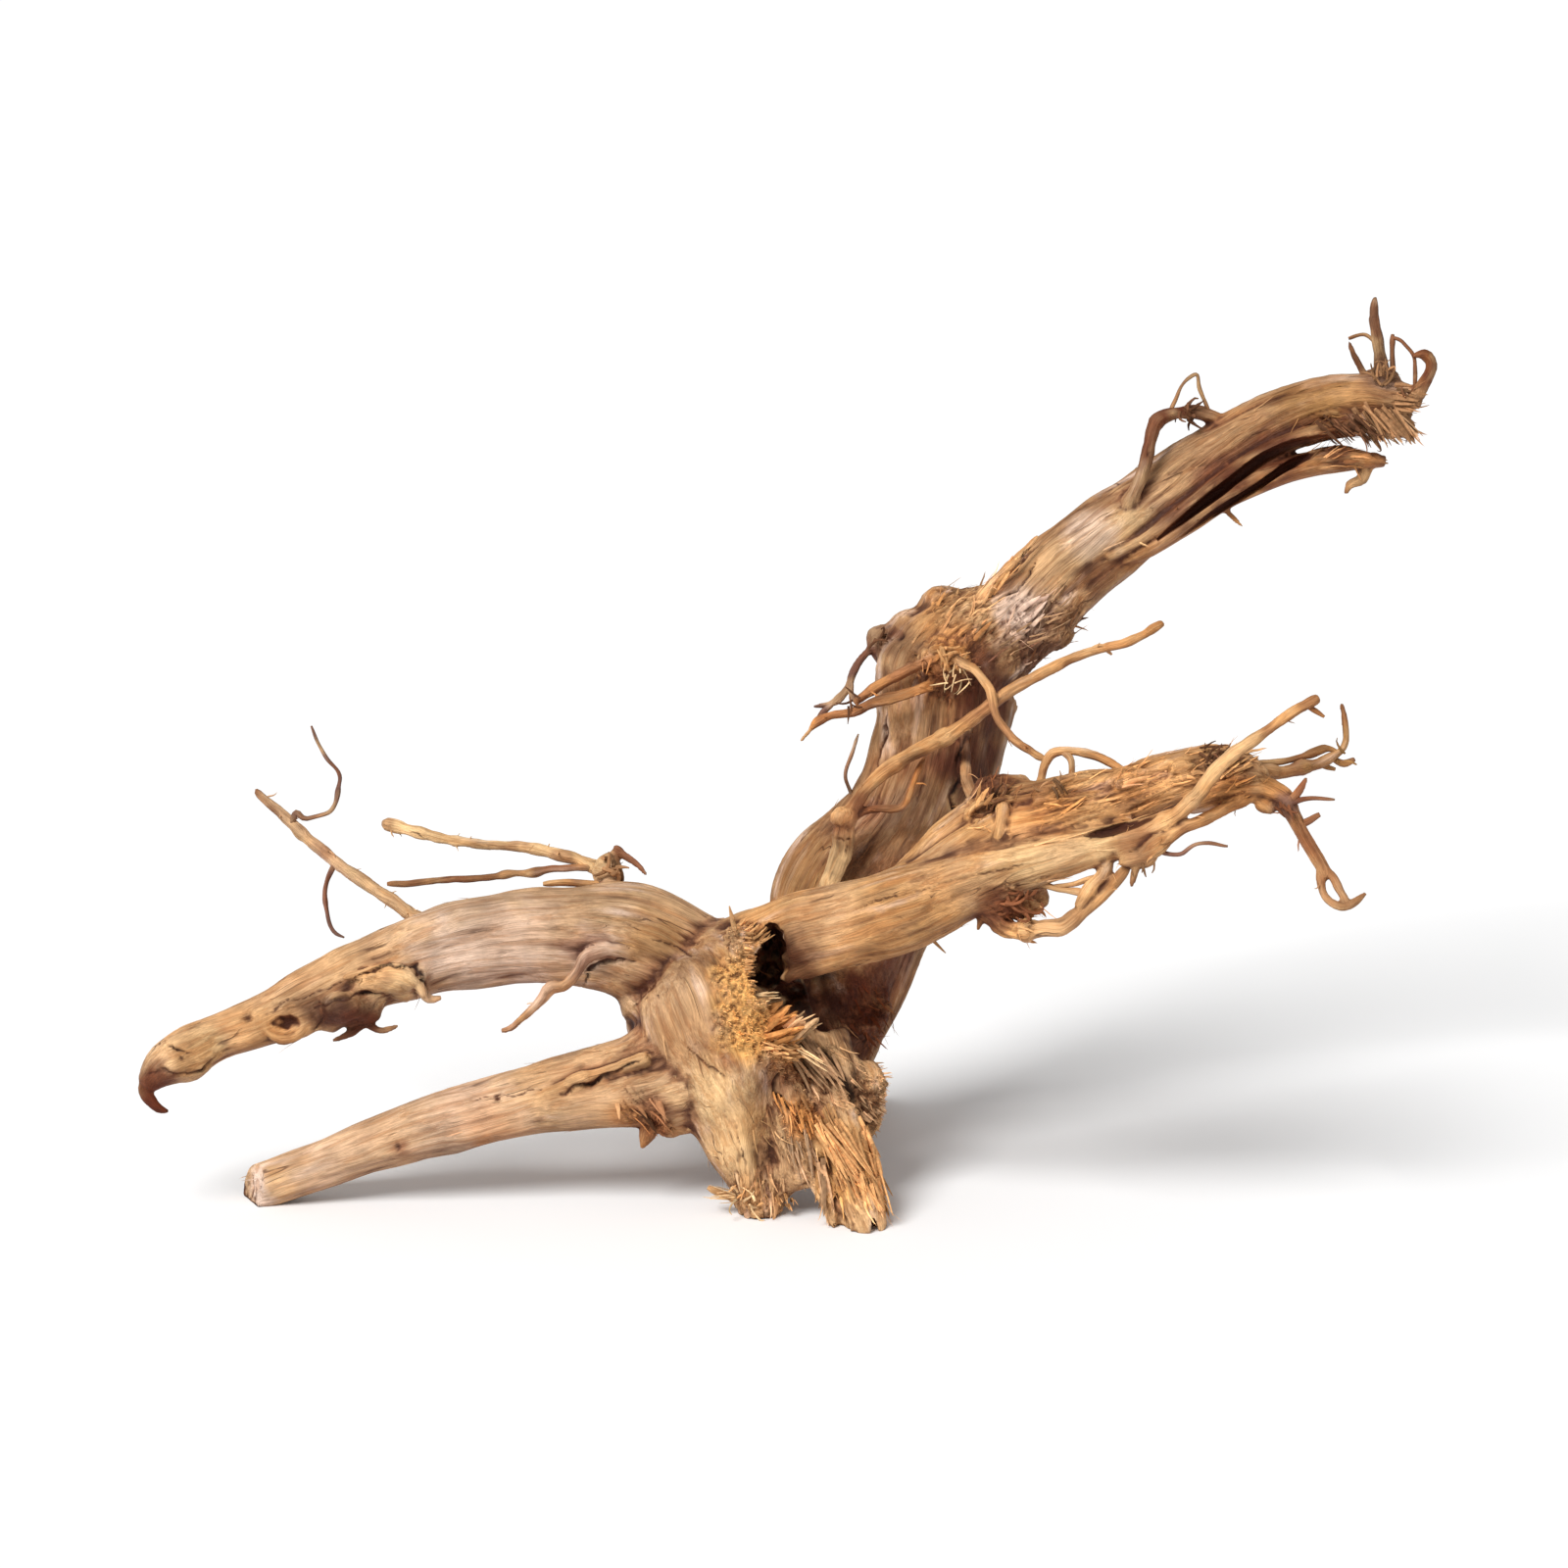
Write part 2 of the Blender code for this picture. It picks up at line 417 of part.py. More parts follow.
def fused_limbs():
    """The thick limbs and knots run together into one skin, as wood grows."""
    bm = bmesh.new()
    for number, (thickness, flute, route) in enumerate(LIMBS.values()):
        add_tube(bm, route, LIMB_STEP, LIMB_SIDES, thickness, flute, phase=number)
    thickness, flute, route = REAR_LEG
    add_tube(bm, route, LIMB_STEP, LIMB_SIDES, thickness, flute, facing=Vector((1, 0, 0)))
    for knot in KNOTS.values():
        add_blob(bm, *knot, KNOT_ROUGHNESS)
    body = mesh_object("bogwood_root", bm)
    fuse = body.modifiers.new("fuse", "REMESH")
    fuse.mode = "VOXEL"
    fuse.voxel_size = BODY_VOXEL
    soften = body.modifiers.new("soften", "SMOOTH")
    soften.factor = 0.5
    soften.iterations = BODY_SMOOTHING
    settle(body)
    return body


def carve_hollows(body):
    """Cuts the mouth, the throat behind it and the eye in the arm."""
    cutters = []
    for name, hollow in HOLLOWS.items():
        bm = bmesh.new()
        add_blob(bm, *hollow)
        cutters.append(mesh_object(name, bm))
    join_to(body, cutters, "DIFFERENCE")


def thin_out(body):
    """Lowers the fused skin to the faces that its shape needs."""
    faces = sum(len(p.vertices) - 2 for p in body.data.polygons)
    fewer = body.modifiers.new("fewer", "DECIMATE")
    fewer.ratio = BODY_TRIANGLES / faces
    settle(body)


def rootlet_objects():
    """Each thin root and split strip as its own tube, ready to be joined to the wood."""
    made = []
    for number, (name, route) in enumerate(ROOTLETS.items()):
        bm = bmesh.new()
        sides = ROOTLET_SIDES if max(point[3] for point in route) > HAIR_WIDTH else HAIR_SIDES
        add_tube(bm, route, ROOTLET_STEP, sides, phase=number)
        made.append(mesh_object(name, bm))
    for name, (thickness, route) in STRIPS.items():
        bm = bmesh.new()
        add_tube(bm, route, ROOTLET_STEP, STRIP_SIDES, thickness)
        made.append(mesh_object(name, bm))
    return made


def splinter_objects():
    """The splinters of every torn edge, placed by a seeded draw."""
    rng = random.Random(SEED)
    made = []
    for name, (start, end, pull, count, length) in TORN_EDGES.items():
        for number in range(count):
            share = (number + rng.random()) / count
            spot = [a + (b - a) * share + rng.uniform(-1.5, 1.5) for a, b in zip(start, end)]
            bm = bmesh.new()
            reach = length * rng.uniform(0.6, 1.2) * MM
            width = rng.uniform(2.4, 4.2) * MM
            add_splinter(bm, placed(*spot), splinter_frame(rng, pull), reach, width)
            made.append(mesh_object(name, bm))
    return made


def level_feet(body):
    """Cuts what dips below the ground, which leaves a flat spot under each support."""
    bm = bmesh.new()
    bmesh.ops.create_cube(bm, size=1.0)
    for v in bm.verts:
        v.co.z -= 0.5
    join_to(body, [mesh_object("ground", bm)], "DIFFERENCE")


def wood_material():
    made = bpy.data.materials.new("weathered_wood")
    made.use_nodes = True
    shader = made.node_tree.nodes["Principled BSDF"]
    shader.inputs["Base Color"].default_value = WOOD_COLOUR
    shader.inputs["Roughness"].default_value = WOOD_ROUGHNESS
    shader.inputs["Metallic"].default_value = 0.0
    return made


def main():
    for obj in list(bpy.data.objects):
        bpy.data.objects.remove(obj)
    body = fused_limbs()
    carve_hollows(body)
    thin_out(body)
    join_to(body, rootlet_objects(), "UNION")
    join_to(body, splinter_objects(), "UNION")
    level_feet(body)
    body.data.materials.clear()
    body.data.materials.append(wood_material())


main()
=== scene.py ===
"""Bogwood root: the grain, torn wood and hair roots of one weathered root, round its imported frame.

Places are drawn square-on from the showing side, as in the part's source: (across, up, back) in millimetres,
where across and up lie in the picture plane and back is the depth behind it. A route point adds the width
that the eye sees there. seen() turns such a place into metres, and placed() into the object's own frame.
"""

import json
import math
import random

import bmesh
import bpy
import numpy as np
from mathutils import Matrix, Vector, noise

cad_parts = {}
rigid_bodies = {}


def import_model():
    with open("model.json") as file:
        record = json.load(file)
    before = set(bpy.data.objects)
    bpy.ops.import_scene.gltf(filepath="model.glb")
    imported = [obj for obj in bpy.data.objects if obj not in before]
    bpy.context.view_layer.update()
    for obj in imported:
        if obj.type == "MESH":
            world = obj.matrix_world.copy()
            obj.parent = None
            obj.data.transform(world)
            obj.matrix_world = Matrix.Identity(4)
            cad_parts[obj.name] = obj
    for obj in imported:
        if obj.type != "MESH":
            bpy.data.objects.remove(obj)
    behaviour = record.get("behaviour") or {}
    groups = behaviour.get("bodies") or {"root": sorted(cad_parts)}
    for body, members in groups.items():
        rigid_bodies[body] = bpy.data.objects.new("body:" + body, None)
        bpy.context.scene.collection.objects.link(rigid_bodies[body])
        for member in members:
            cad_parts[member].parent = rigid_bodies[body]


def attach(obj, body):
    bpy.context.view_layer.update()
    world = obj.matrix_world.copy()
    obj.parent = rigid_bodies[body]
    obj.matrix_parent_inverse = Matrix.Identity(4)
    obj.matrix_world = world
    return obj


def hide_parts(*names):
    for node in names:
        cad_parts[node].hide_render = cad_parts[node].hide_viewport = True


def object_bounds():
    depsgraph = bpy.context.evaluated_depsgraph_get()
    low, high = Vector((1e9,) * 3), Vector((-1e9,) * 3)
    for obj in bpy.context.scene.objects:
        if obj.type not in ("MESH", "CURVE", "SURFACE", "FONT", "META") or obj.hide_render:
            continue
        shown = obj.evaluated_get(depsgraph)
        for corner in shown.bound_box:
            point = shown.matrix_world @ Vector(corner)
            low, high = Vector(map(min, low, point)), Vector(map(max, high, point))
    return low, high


for startup in list(bpy.data.objects):
    bpy.data.objects.remove(startup)
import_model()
CAD_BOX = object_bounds()

MM = 0.001
EYE_DISTANCE = 1800.0
EYE_TILT = math.radians(15.0)
FOOT_POINT = (-8.0, -145.5, -12.0)
PICTURE_WIDTH = 1600 / 3 * MM
SENSOR = 36.0
SIGHT_END = 60
EYE_LINE = Vector((0, math.cos(EYE_TILT), -math.sin(EYE_TILT)))
EYE_UP = Vector((0, math.sin(EYE_TILT), math.cos(EYE_TILT)))
SEED = 11

# How finely the lines of wood are drawn: the step along each in millimetres, and the sides of its tube.
LIMB_STEP = 2.0
ROOT_STEP = 1.5
HAIR_STEP = 1.0
SLOT_STEP = 1.0
LIMB_SIDES = 28
ROOT_SIDES = 16
STRIP_SIDES = 12
SLOT_SIDES = 16
HAIR_SIDES = 8
CURL_SIDES = 6
# How far rootlets wander to and fro, and how much thicker roots and strips are than drawn, so that they fuse.
ROOT_WANDER = 0.7 * MM
HAIR_WANDER = 0.8 * MM
ROOT_GAIN = 0.05 * MM
STRIP_GAIN = 0.2 * MM
ROOT_FLUTE = 0.06
# Rootlets that are nowhere wider than this, in millimetres, stay a thin piece of their own.
FUSED_WIDTH = 3.2
KNOT_ROUGHNESS = 0.25
EGG_DIVISIONS = 4
CRUMB_DIVISIONS = 1
COARSE_VOXEL = 1.6 * MM
COARSE_PASSES = 4
FINE_VOXEL = 0.65 * MM
FINE_PASSES = 2
WOOD_TRIANGLES = 196000
# How softly the ribs, and the colours and grain, run over from one limb to the next.
RIB_SOFTNESS = 1.2 * MM
COLOUR_SOFTNESS = 1.6 * MM
# Everything below the ground is cut off with this block.
GROUND_BLOCK = ((-0.4, -0.4, -0.1), (0.4, 0.4, 0.2 * MM))

WARMTH = (1.0, 0.965, 0.9)
REDDENING = (1.0, 0.78, 0.6, 1)
WOOD_SPECULAR = 0.24
LOOSE_SPECULAR = 0.12
WORLD_LIGHT = 0.45
SUN_LIGHT = 2.98
SUN_SOFTNESS = 28.0
SUN_FROM = (-0.62, -0.75, 1.05)
FLOOR_HALF = 25.0
FLOOR_COLOUR = (0.93, 0.93, 0.93, 1)
FLOOR_ROUGHNESS = 0.9

# How strongly the ribs stand out on the limbs that are smoother than the rest.
RIBBED = {
    "arched_arm": 0.5, "lower_arm": 0.45, "forward_branch": 0.5, "hub": 0.4, "torn_foot": 0.9, "trunk": 0.8,
}
RIBS_ELSEWHERE = 1.0
# How strongly light and dark bands of grain show on each limb, and on the rest.
BANDED = {
    "arched_arm": 0.7, "lower_arm": 0.6, "forward_branch": 0.8, "branch_log": 1.0, "hub": 1.0, "trunk": 1.0,
}
BANDS_ELSEWHERE = 0.9

# The thick limbs. Each is (thickness, flute depth, route): thickness is depth over width.
LIMBS = {
    "arched_arm": (1.0, 0.05, [(-18, -76, 4, 40), (-36, -60, 0, 39), (-53, -52.8, -3, 39.5),
        (-70, -51.3, -7, 34.5), (-90, -51.6, -11, 31.5), (-107, -53.7, -14, 30.5), (-123, -57.8, -16, 27.5),
        (-138, -63.2, -18, 24.5), (-153, -70, -20, 22.5), (-167, -76.5, -22, 20.5), (-180, -82, -24, 17),
        (-192, -86.3, -25, 15.5), (-201.5, -91, -26, 17), (-210, -95.5, -27, 14.5),
        (-214.5, -99.5, -28, 10.5), (-217.5, -103.5, -28, 6.5)]),
    "lower_arm": (0.95, 0.04, [(-14, -86, -2, 42), (-36.5, -96.5, -8, 39), (-50, -101, -10, 32),
        (-66.7, -104, -10, 27), (-83, -107.2, -9, 24), (-100, -111.5, -8, 22), (-117, -115.7, -7, 21.5),
        (-133, -120.7, -6, 19), (-150, -126.7, -5, 17.5), (-167, -132.8, -4, 16.5),
        (-187, -139.8, -3.5, 15.5)]),
    "hub": (1.0, 0.06, [(-36, -57, 2, 24), (-29, -64, 0, 53), (-22.5, -80, -3, 60), (-15.5, -98, -6, 52),
        (-12, -117, -9, 37), (-9.5, -132, -11, 24.5), (-8.5, -140, -13, 17.5), (-7.5, -150, -15, 11)]),
    "torn_foot": (0.75, 0.08, [(2, -92, 2, 40), (9.5, -110, -6, 36), (15.5, -123, -14, 28),
        (20.5, -134, -19, 24), (24.5, -145, -24, 21), (27.5, -155, -27, 17)]),
    "trunk": (0.75, 0.06, [(6, -104, 14, 34), (9.5, -91, 20, 41), (14.5, -74, 26, 47), (20.5, -58, 30, 50),
        (24, -45, 32, 57), (29, -35, 33, 55), (36.5, -24, 33, 48), (44, -13, 33, 46), (50, 3, 32, 45),
        (53.5, 20, 31, 46), (55.5, 35, 31, 50), (62.5, 45.2, 31, 46), (71.5, 51.3, 31, 38),
        (80.5, 57.3, 32, 33), (91, 68.5, 33, 31.5), (101.5, 77.5, 34, 30), (116, 89, 34, 28),
        (127.5, 98, 33, 25), (141, 108.5, 31, 21.5), (157.7, 119.5, 28, 19), (175, 128, 24, 17),
        (195, 132.5, 19, 14.5), (214, 129.5, 15, 12.5)]),
    "forward_branch": (0.8, 0.05, [(-20, -66, 2, 34), (-13, -60.5, -5, 32), (-3, -55.2, -14, 29.5),
        (10, -50, -26, 29), (27, -45.7, -38, 28.5), (43.5, -40.5, -48, 28.5), (60, -34, -56, 24.5),
        (77, -28.7, -62, 20), (93, -24.3, -67, 16.5), (110, -20.3, -71, 13), (124, -16.5, -74, 10.5),
        (134, -11.5, -76, 9)]),
    "branch_log": (0.85, 0.09, [(41, -38, -44, 18), (58.5, -25, -47, 26), (73.5, -16.7, -51, 28),
        (88.5, -13, -54, 26.5), (103.5, -8.7, -58, 25), (118, -4.2, -61, 19.5), (133, 1.6, -64, 18.5),
        (148, 4.6, -66, 17), (158, 3.5, -67, 13)]),
    "torn_rag": (1.3, 0.10, [(180, 128, 24, 9), (195, 124.5, 21, 10), (207, 121.5, 18, 8),
        (213, 119.5, 16, 4)]),
}
# A root that runs away from the eye down to the ground, where it is hidden behind the foot.
REAR_LEG = (1.0, 0.07, [
    (15, -66, 16, 46), (14, -82, 42, 37), (15, -95, 66, 29), (18, -105, 88, 25), (18.5, -113, 106, 23),
    (16, -120, 116, 24),
])

# Split strips that lie along the trunk, as (thickness, route).
STRIPS = {
    "hanging_strip": (1.9, [(108, 73, 34, 3), (116, 76.5, 32, 5), (125, 81.5, 31, 7.6), (137, 89.6, 30, 9),
        (150, 98, 28, 9.3), (165, 104.9, 26, 9.3), (180, 109, 24, 8.5), (192, 110.3, 22, 7.5),
        (204.5, 109.5, 21, 3.4)]),
    "inner_strip": (3.0, [(110, 77, 31, 5), (123, 84, 30, 5), (137, 94.5, 28, 5.5), (152, 105.5, 27, 6.5),
        (167, 114.2, 25, 6.5), (182, 119.5, 23, 6), (196, 121.5, 21, 4)]),
}

# The lumps and knots: (across, up, back, width, height, depth).
KNOTS = {
    "arm_lump_high": (-130, -67, -24, 17, 13, 14), "arm_lump": (-145, -75, -25, 18, 14, 15),
    "arm_lump_low": (-155, -79, -26, 15, 11, 12), "eye_ring": (-169, -81.5, -27, 17, 13, 9),
    "arm_tip_knuckle": (-203, -97, -28, 13, 9, 10), "arm_knot": (-60, -30, 7, 11, 13, 11),
    "arm_pit": (-38, -111, -10, 24, 17, 18), "arm_crotch": (-50, -75, -4, 12, 12, 20),
    "elbow_cap": (54, 62.5, 30, 15, 11, 15), "elbow_side": (42.5, 54, 30, 14, 10, 14),
    "elbow_stub": (32.5, 48.5, 30, 10, 12, 11), "elbow_under": (89, 50.5, 31, 19, 12, 18),
    "trunk_knot": (55, 41, 12, 18, 13, 12), "lower_arm_swell": (-62, -113, -12, 20, 8, 12),
    "foot_pad": (-8.5, -140.5, -14, 18.5, 14, 14), "foot_web": (7, -125, -12, 22, 18, 18),
    "branch_end_knot": (158, 2.5, -69, 14, 13, 11), "log_shoulder": (75, -5, -46, 24, 17, 18),
    "branch_web": (112, -12, -60, 34, 14, 11), "fibre_clump": (77, -39, -60, 26, 14, 9),
    "strip_knot": (121, -24.5, -76, 13, 9, 8), "trunk_end_tuft": (203, 137, 20, 15, 10, 12),
    "stump_ridge": (22, -107, -2, 25, 32, 20), "mouth_lip_high": (-15, -57, -21, 13, 19, 14),
    "mouth_lip": (-12, -75, -26, 15, 24, 14), "mouth_lip_low": (-6, -92, -20, 20, 15, 14),
}

# Thin roots, twigs and curls.
ROOTLETS = {
    "brow_spike": [(-16.5, -50, -28, 2.6), (-17.6, -46, -29.5, 2.0), (-18.6, -41.5, -30, 0.9)],
    "branch_spike": [(44.5, -47, -38, 2.2), (49.5, -52.5, -39, 1.6), (55, -57.5, -39, 0.8)],
    "long_stick": [(14.5, -37, 10, 8), (19.5, -23, 7, 8), (20.7, -15, 4, 8.5), (24, -7, 3, 5.5),
        (32, 2, 2, 6), (43, 10, 0, 6), (57, 17, -3, 6), (70, 27, -6, 5.7), (83, 35, -9, 5),
        (97, 42.3, -12, 4.3), (110, 46.5, -15, 3.8), (120, 50, -17, 3.6), (126, 53.2, -19, 3.6),
        (129, 55, -19, 4.4)],
    "long_stick_twig": [(103, 45, -13, 2.6), (108, 46.5, -12, 2.6), (111.5, 44, -11, 1.6)],
    "bent_twig": [(21, -13, 4, 4), (28, -9, 4, 3.4), (36, -8.4, 3, 3.2), (40.5, -7, 2, 3.2),
        (43, -1.5, 2, 3), (46, 5, 4, 2.8), (48, 9.5, 8, 2)],
    "crossing_twig": [(54, 44, 12, 5), (63, 40.3, -2, 4), (69.6, 32.5, -8, 3.6), (73, 21.5, -16, 3.4),
        (80.5, 14, -26, 3.3), (90, 8, -44, 2.8)],
    "left_twig_low": [(58, 37, 16, 5), (47, 32.5, 8, 4.6), (33.3, 28.3, 9, 4.6), (25, 24.8, 13, 4),
        (16.7, 23.2, 14, 3.4), (11.5, 21, 14, 4), (8.7, 18, 13, 1.8), (5.6, 14.4, 13, 1.9)],
    "left_twig_high": [(62, 46, 18, 5), (50, 42, 7, 4.8), (38.3, 36.7, 10, 4.4), (30, 32.3, 15, 3.8),
        (24, 27.5, 15, 3.6)],
    "left_twig_back": [(33, 49, 30, 4), (26.5, 43.3, 28, 3.2), (23.3, 37.3, 26, 3.6), (21.5, 32.5, 24, 3.6),
        (17, 27.6, 22, 3), (10, 26.4, 20, 1.8)],
    "left_twig_fork": [(23, 36, 25, 2.4), (22.6, 31.5, 22, 2.2), (25, 27, 17, 2.4)],
    "left_twig_join": [(17, 27.6, 22, 2.6), (13, 24.3, 18, 2.6), (10.5, 19.8, 14, 2.4)],
    "side_hair": [(25.3, 17, 22, 1.2), (22.8, 10, 20, 1.6), (21, 2.5, 22, 1.7), (24, -6, 30, 1.7)],
    "down_stick": [(62, 22, 16, 4.6), (61, 6, 6, 4.8), (64, -5, -14, 4.8), (67.5, -15, -34, 4.4)],
    "arch_root": [(86, -6, -52, 3.8), (89.3, 8, -46, 3.6), (94.5, 11.4, -46, 3.6), (105, 9.9, -50, 3.6),
        (115, 4.6, -56, 3), (121, 1, -60, 2.6)],
    "arch_post": [(93.5, 11.5, -46, 2.8), (98, 7.5, -48, 2.8), (97, -3, -52, 3)],
    "shoulder_curl": [(64, -14, -46, 3.4), (66, -5, -46, 3.3), (72, -1, -46, 3), (80, -6, -50, 3)],
    "pale_stub": [(75, -1, -51, 4.4), (73.8, -10, -63, 4.8), (72.8, -20, -63, 4)],
    "light_stick": [(118, -17.5, -74, 5.4), (130, -13.5, -77, 6.6), (139.5, -5, -81, 6),
        (147, 4.4, -84, 5.4), (155, 11.5, -86, 5), (170, 22.5, -90, 4.2), (179, 27.8, -92, 3.6),
        (182, 29.5, -92, 4.4)],
    "light_stick_twig": [(177, 27, -91, 2.8), (181, 24.7, -91, 2.2), (183.8, 22.8, -91, 1.7)],
    "hook_root": [(136, -7, -68, 10), (150, -3, -70, 11), (160, -1.5, -72, 11), (168, -4, -74, 9.5),
        (171.5, -9, -76, 7.8), (175.1, -15.5, -79, 5.8), (180, -23, -81, 5.4), (185, -31.5, -84, 4.4)],
    "hook_loop": [(182.5, -27, -82, 3.6), (182.6, -35, -85, 3), (184.8, -39.8, -87, 3),
        (189, -41.7, -88, 3.6), (194, -40, -88, 3.2), (198, -37, -88, 2.2)],
    "hook_strand": [(185, -29, -83, 3.6), (188.8, -34.5, -85, 3.2), (191.5, -41, -88, 3.2)],
    "end_curl": [(152, 4, -66, 5.5), (162, 5, -64, 5), (168.2, 3.9, -62, 5), (176, 5.3, -60, 4.6),
        (183.5, 7.8, -58, 4.4), (190, 12, -57, 3), (191.8, 18, -57, 2.8), (189.6, 27.5, -58, 2.2)],
    "end_curl_upper": [(161, 7.3, -62, 3), (169.4, 7.6, -60, 2.6), (177, 9.8, -58, 2.6),
        (184, 12.2, -57, 2.6), (189, 10.5, -57, 2.4)],
    "end_claw": [(186, 9, -57, 2.6), (190.5, 7, -56, 3), (194, 8.4, -55, 3.2)],
    "end_claw_low": [(182, 6.5, -57, 2.4), (187.5, 5, -56, 2.4)],
    "hook_knuckle": [(161, -6, -73, 8), (167, -9, -75, 6)],
    "hook_spur": [(170.5, -8, -77, 3.6), (175, -2.3, -78, 3.4), (177.8, 2.2, -78, 2.8)],
    "hook_spur_fine": [(171, -7, -77, 3), (179, -5, -79, 1.8), (187.4, -5.3, -80, 1.4)],
    "hook_spur_low": [(174, -14.3, -78, 3.2), (182.3, -10.3, -79, 2.8)],
    "under_strip": [(164, -2, -72, 6), (150, -8.2, -75, 5.2), (141, -13.2, -77, 5), (134, -16.3, -79, 5),
        (122, -24, -79, 6), (114, -27, -76, 4)],
    "strip_spur": [(121, -25, -77, 4), (118, -35, -77, 2.2)],
    "strip_whisker": [(126, -22.5, -78, 2), (134.4, -24.2, -80, 1.7), (141, -20.6, -82, 1.6),
        (151, -21.2, -83, 1.4)],
    "under_root": [(64, -40, -56, 6.5), (70, -46, -58, 6.5), (76.7, -49.8, -62, 7), (87.5, -49.3, -66, 7),
        (94.5, -49, -68, 7.2), (101, -43.8, -69, 6), (109, -37.5, -71, 5.2), (114, -32, -73, 3.6),
        (118.5, -25.5, -74, 3)],
    "under_knuckle": [(108, -20, -70, 5.5), (109.2, -29.5, -71, 6), (105, -35, -71, 6), (100, -42, -70, 5)],
    "under_twig": [(82, -33, -64, 2.8), (96.5, -36.7, -68, 2.2), (110, -37.8, -71, 2.4)],
    "under_twig_high": [(90, -35, -66, 2), (98, -34.8, -68, 2), (106, -31.5, -70, 3)],
    "under_spur": [(68, -42, -57, 4), (65.8, -50, -58, 2.2)],
    "far_stick": [(-179.8, -2.2, 44, 3.6), (-167, -13.6, 36, 4.8), (-153, -26, 27, 5),
        (-138.5, -36.3, 18, 5.4), (-124, -45.6, 8, 5.6), (-108, -54, -6, 5.4)],
    "far_curl": [(-167.5, -14, 35, 2.8), (-165.6, -9.5, 33, 2.6), (-162, -11.6, 33, 2),
        (-154.5, -9, 31, 1.8), (-151, -1, 30, 1.8), (-151.3, 4, 30, 1.7), (-157, 10.5, 30, 1.6),
        (-160.8, 19.8, 30, 1.3)],
    "far_drop": [(-152.5, -26, 27, 2.4), (-156, -35.5, 25, 2), (-155.3, -44, 23, 1.8),
        (-153, -50.2, 22, 1.7), (-149.6, -52.2, 21, 1.4)],
    "rear_stick": [(-136.7, -13.2, 42, 4), (-123, -16.5, 35, 4.2), (-107, -19.7, 28, 4.2),
        (-90, -21.3, 22, 4.6), (-75, -24.5, 16, 5.2), (-65, -28, 12, 5.8), (-58, -30, 8, 6)],
    "rear_twig": [(-135, -34, 24, 2.6), (-120, -33, 23, 2.8), (-100, -31.5, 20, 2.9), (-80, -29.3, 15, 3),
        (-62, -28, 10, 3)],
    "knot_whisker": [(-58, -22, 8, 4), (-50.5, -26.5, 6, 2.4), (-46.8, -31, 5, 1.6)],
    "arm_top_root": [(-82, -34, 3, 3), (-70, -33.5, 4, 3.2), (-58, -34, 5, 3)],
    "arm_rootlet": [(-50, -59, -19, 4.4), (-56, -56.5, -22, 5), (-62, -56, -23.5, 5.2),
        (-67.5, -58.5, -25, 5.6), (-70.5, -63.5, -27, 4.4), (-75, -68.3, -28, 4.4), (-79.5, -69, -29, 5.8),
        (-82.5, -73, -29, 4.2), (-88, -78.5, -29, 3.2), (-93, -83, -29, 2.8), (-96.3, -83.8, -29, 3.2)],
    "claw_left": [(-141, -80, -25, 4), (-147, -84.5, -27, 3), (-153.8, -87.4, -28, 1.8)],
    "claw_right": [(-143, -81, -25, 3.6), (-137, -83.6, -27, 2.8), (-131, -82.2, -28, 1.8)],
    "arm_curl": [(-125, -60, -25, 4.8), (-123.5, -69.5, -27, 4.4), (-120.8, -73.2, -27, 3.8),
        (-116.3, -72.6, -26, 2.8)],
    "tip_claw": [(-218, -102, -28, 6.5), (-216.5, -107.3, -28, 5.6), (-213.5, -110.3, -28, 4),
        (-209.3, -111.5, -28, 2.2)],
    "trunk_branchlet": [(115, 91, 30, 9), (119.7, 101, 22, 6.2), (123.3, 111, 20, 5.2),
        (125, 118.5, 21, 5.2), (127.3, 124, 24, 6.6), (133.5, 126, 26, 4.8), (140.5, 126.3, 28, 5.8),
        (148, 123.7, 30, 5), (156, 120.5, 31, 3.6)],
    "branchlet_loop": [(131, 126, 26, 2.2), (134.3, 134, 26, 1.5), (139.9, 139.4, 26, 1.5),
        (141.4, 134, 27, 1.5), (144.5, 127, 28, 2)],
    "spike": [(203.3, 134, 22, 8), (202.8, 146.5, 22, 5.4), (200.9, 157.4, 22, 4.6), (201, 166, 22, 2)],
    "end_root": [(213, 128, 14, 6.4), (217.8, 136, 12, 5), (220.2, 142.3, 12, 4.8), (217.5, 146, 12, 4),
        (213.6, 145.3, 13, 2.4)],
    "tuft_strand": [(199.5, 134, 22, 4), (195.5, 143, 25, 3), (192, 150.5, 25, 2)],
    "tuft_loop": [(202.5, 148, 23, 1.8), (198, 153, 24, 1.7), (192, 151.5, 25, 1.8)],
    "tuft_post": [(207.5, 132, 17, 3.2), (207.2, 141, 17, 2.4), (207, 153, 17, 1.8)],
    "end_loop": [(206.5, 152, 17, 1.8), (210.5, 150.5, 15, 1.6), (214.5, 144.5, 14, 1.6),
        (214.5, 134, 13, 2)],
    "strip_claw": [(198, 110, 22, 6), (197, 104, 22, 5), (192.5, 101.8, 22, 3.6), (191.2, 98.6, 22, 2.4)],
    "strip_thorn": [(148, 96, 28, 3.4), (152, 91.5, 28, 2.4), (156, 87.4, 28, 1.3)],
    "foot_twig": [(-11, -144, -14, 3.2), (-19, -140.8, -15, 2.8), (-26, -137.2, -15, 2.6)],
    "arm_thorn": [(-43, -110, -12, 9), (-46, -117.5, -14, 7.4), (-48.4, -124, -15, 2.6)],
    "lower_ridge": [(-46, -93, -25, 4.6), (-58, -97, -23, 5), (-70, -101, -22, 5), (-82, -105.5, -20, 4)],
    "rear_rootlet": [(12, -98, 76, 9), (2, -106, 92, 6), (-8, -108, 104, 4.6), (-20, -112, 110, 2.6)],
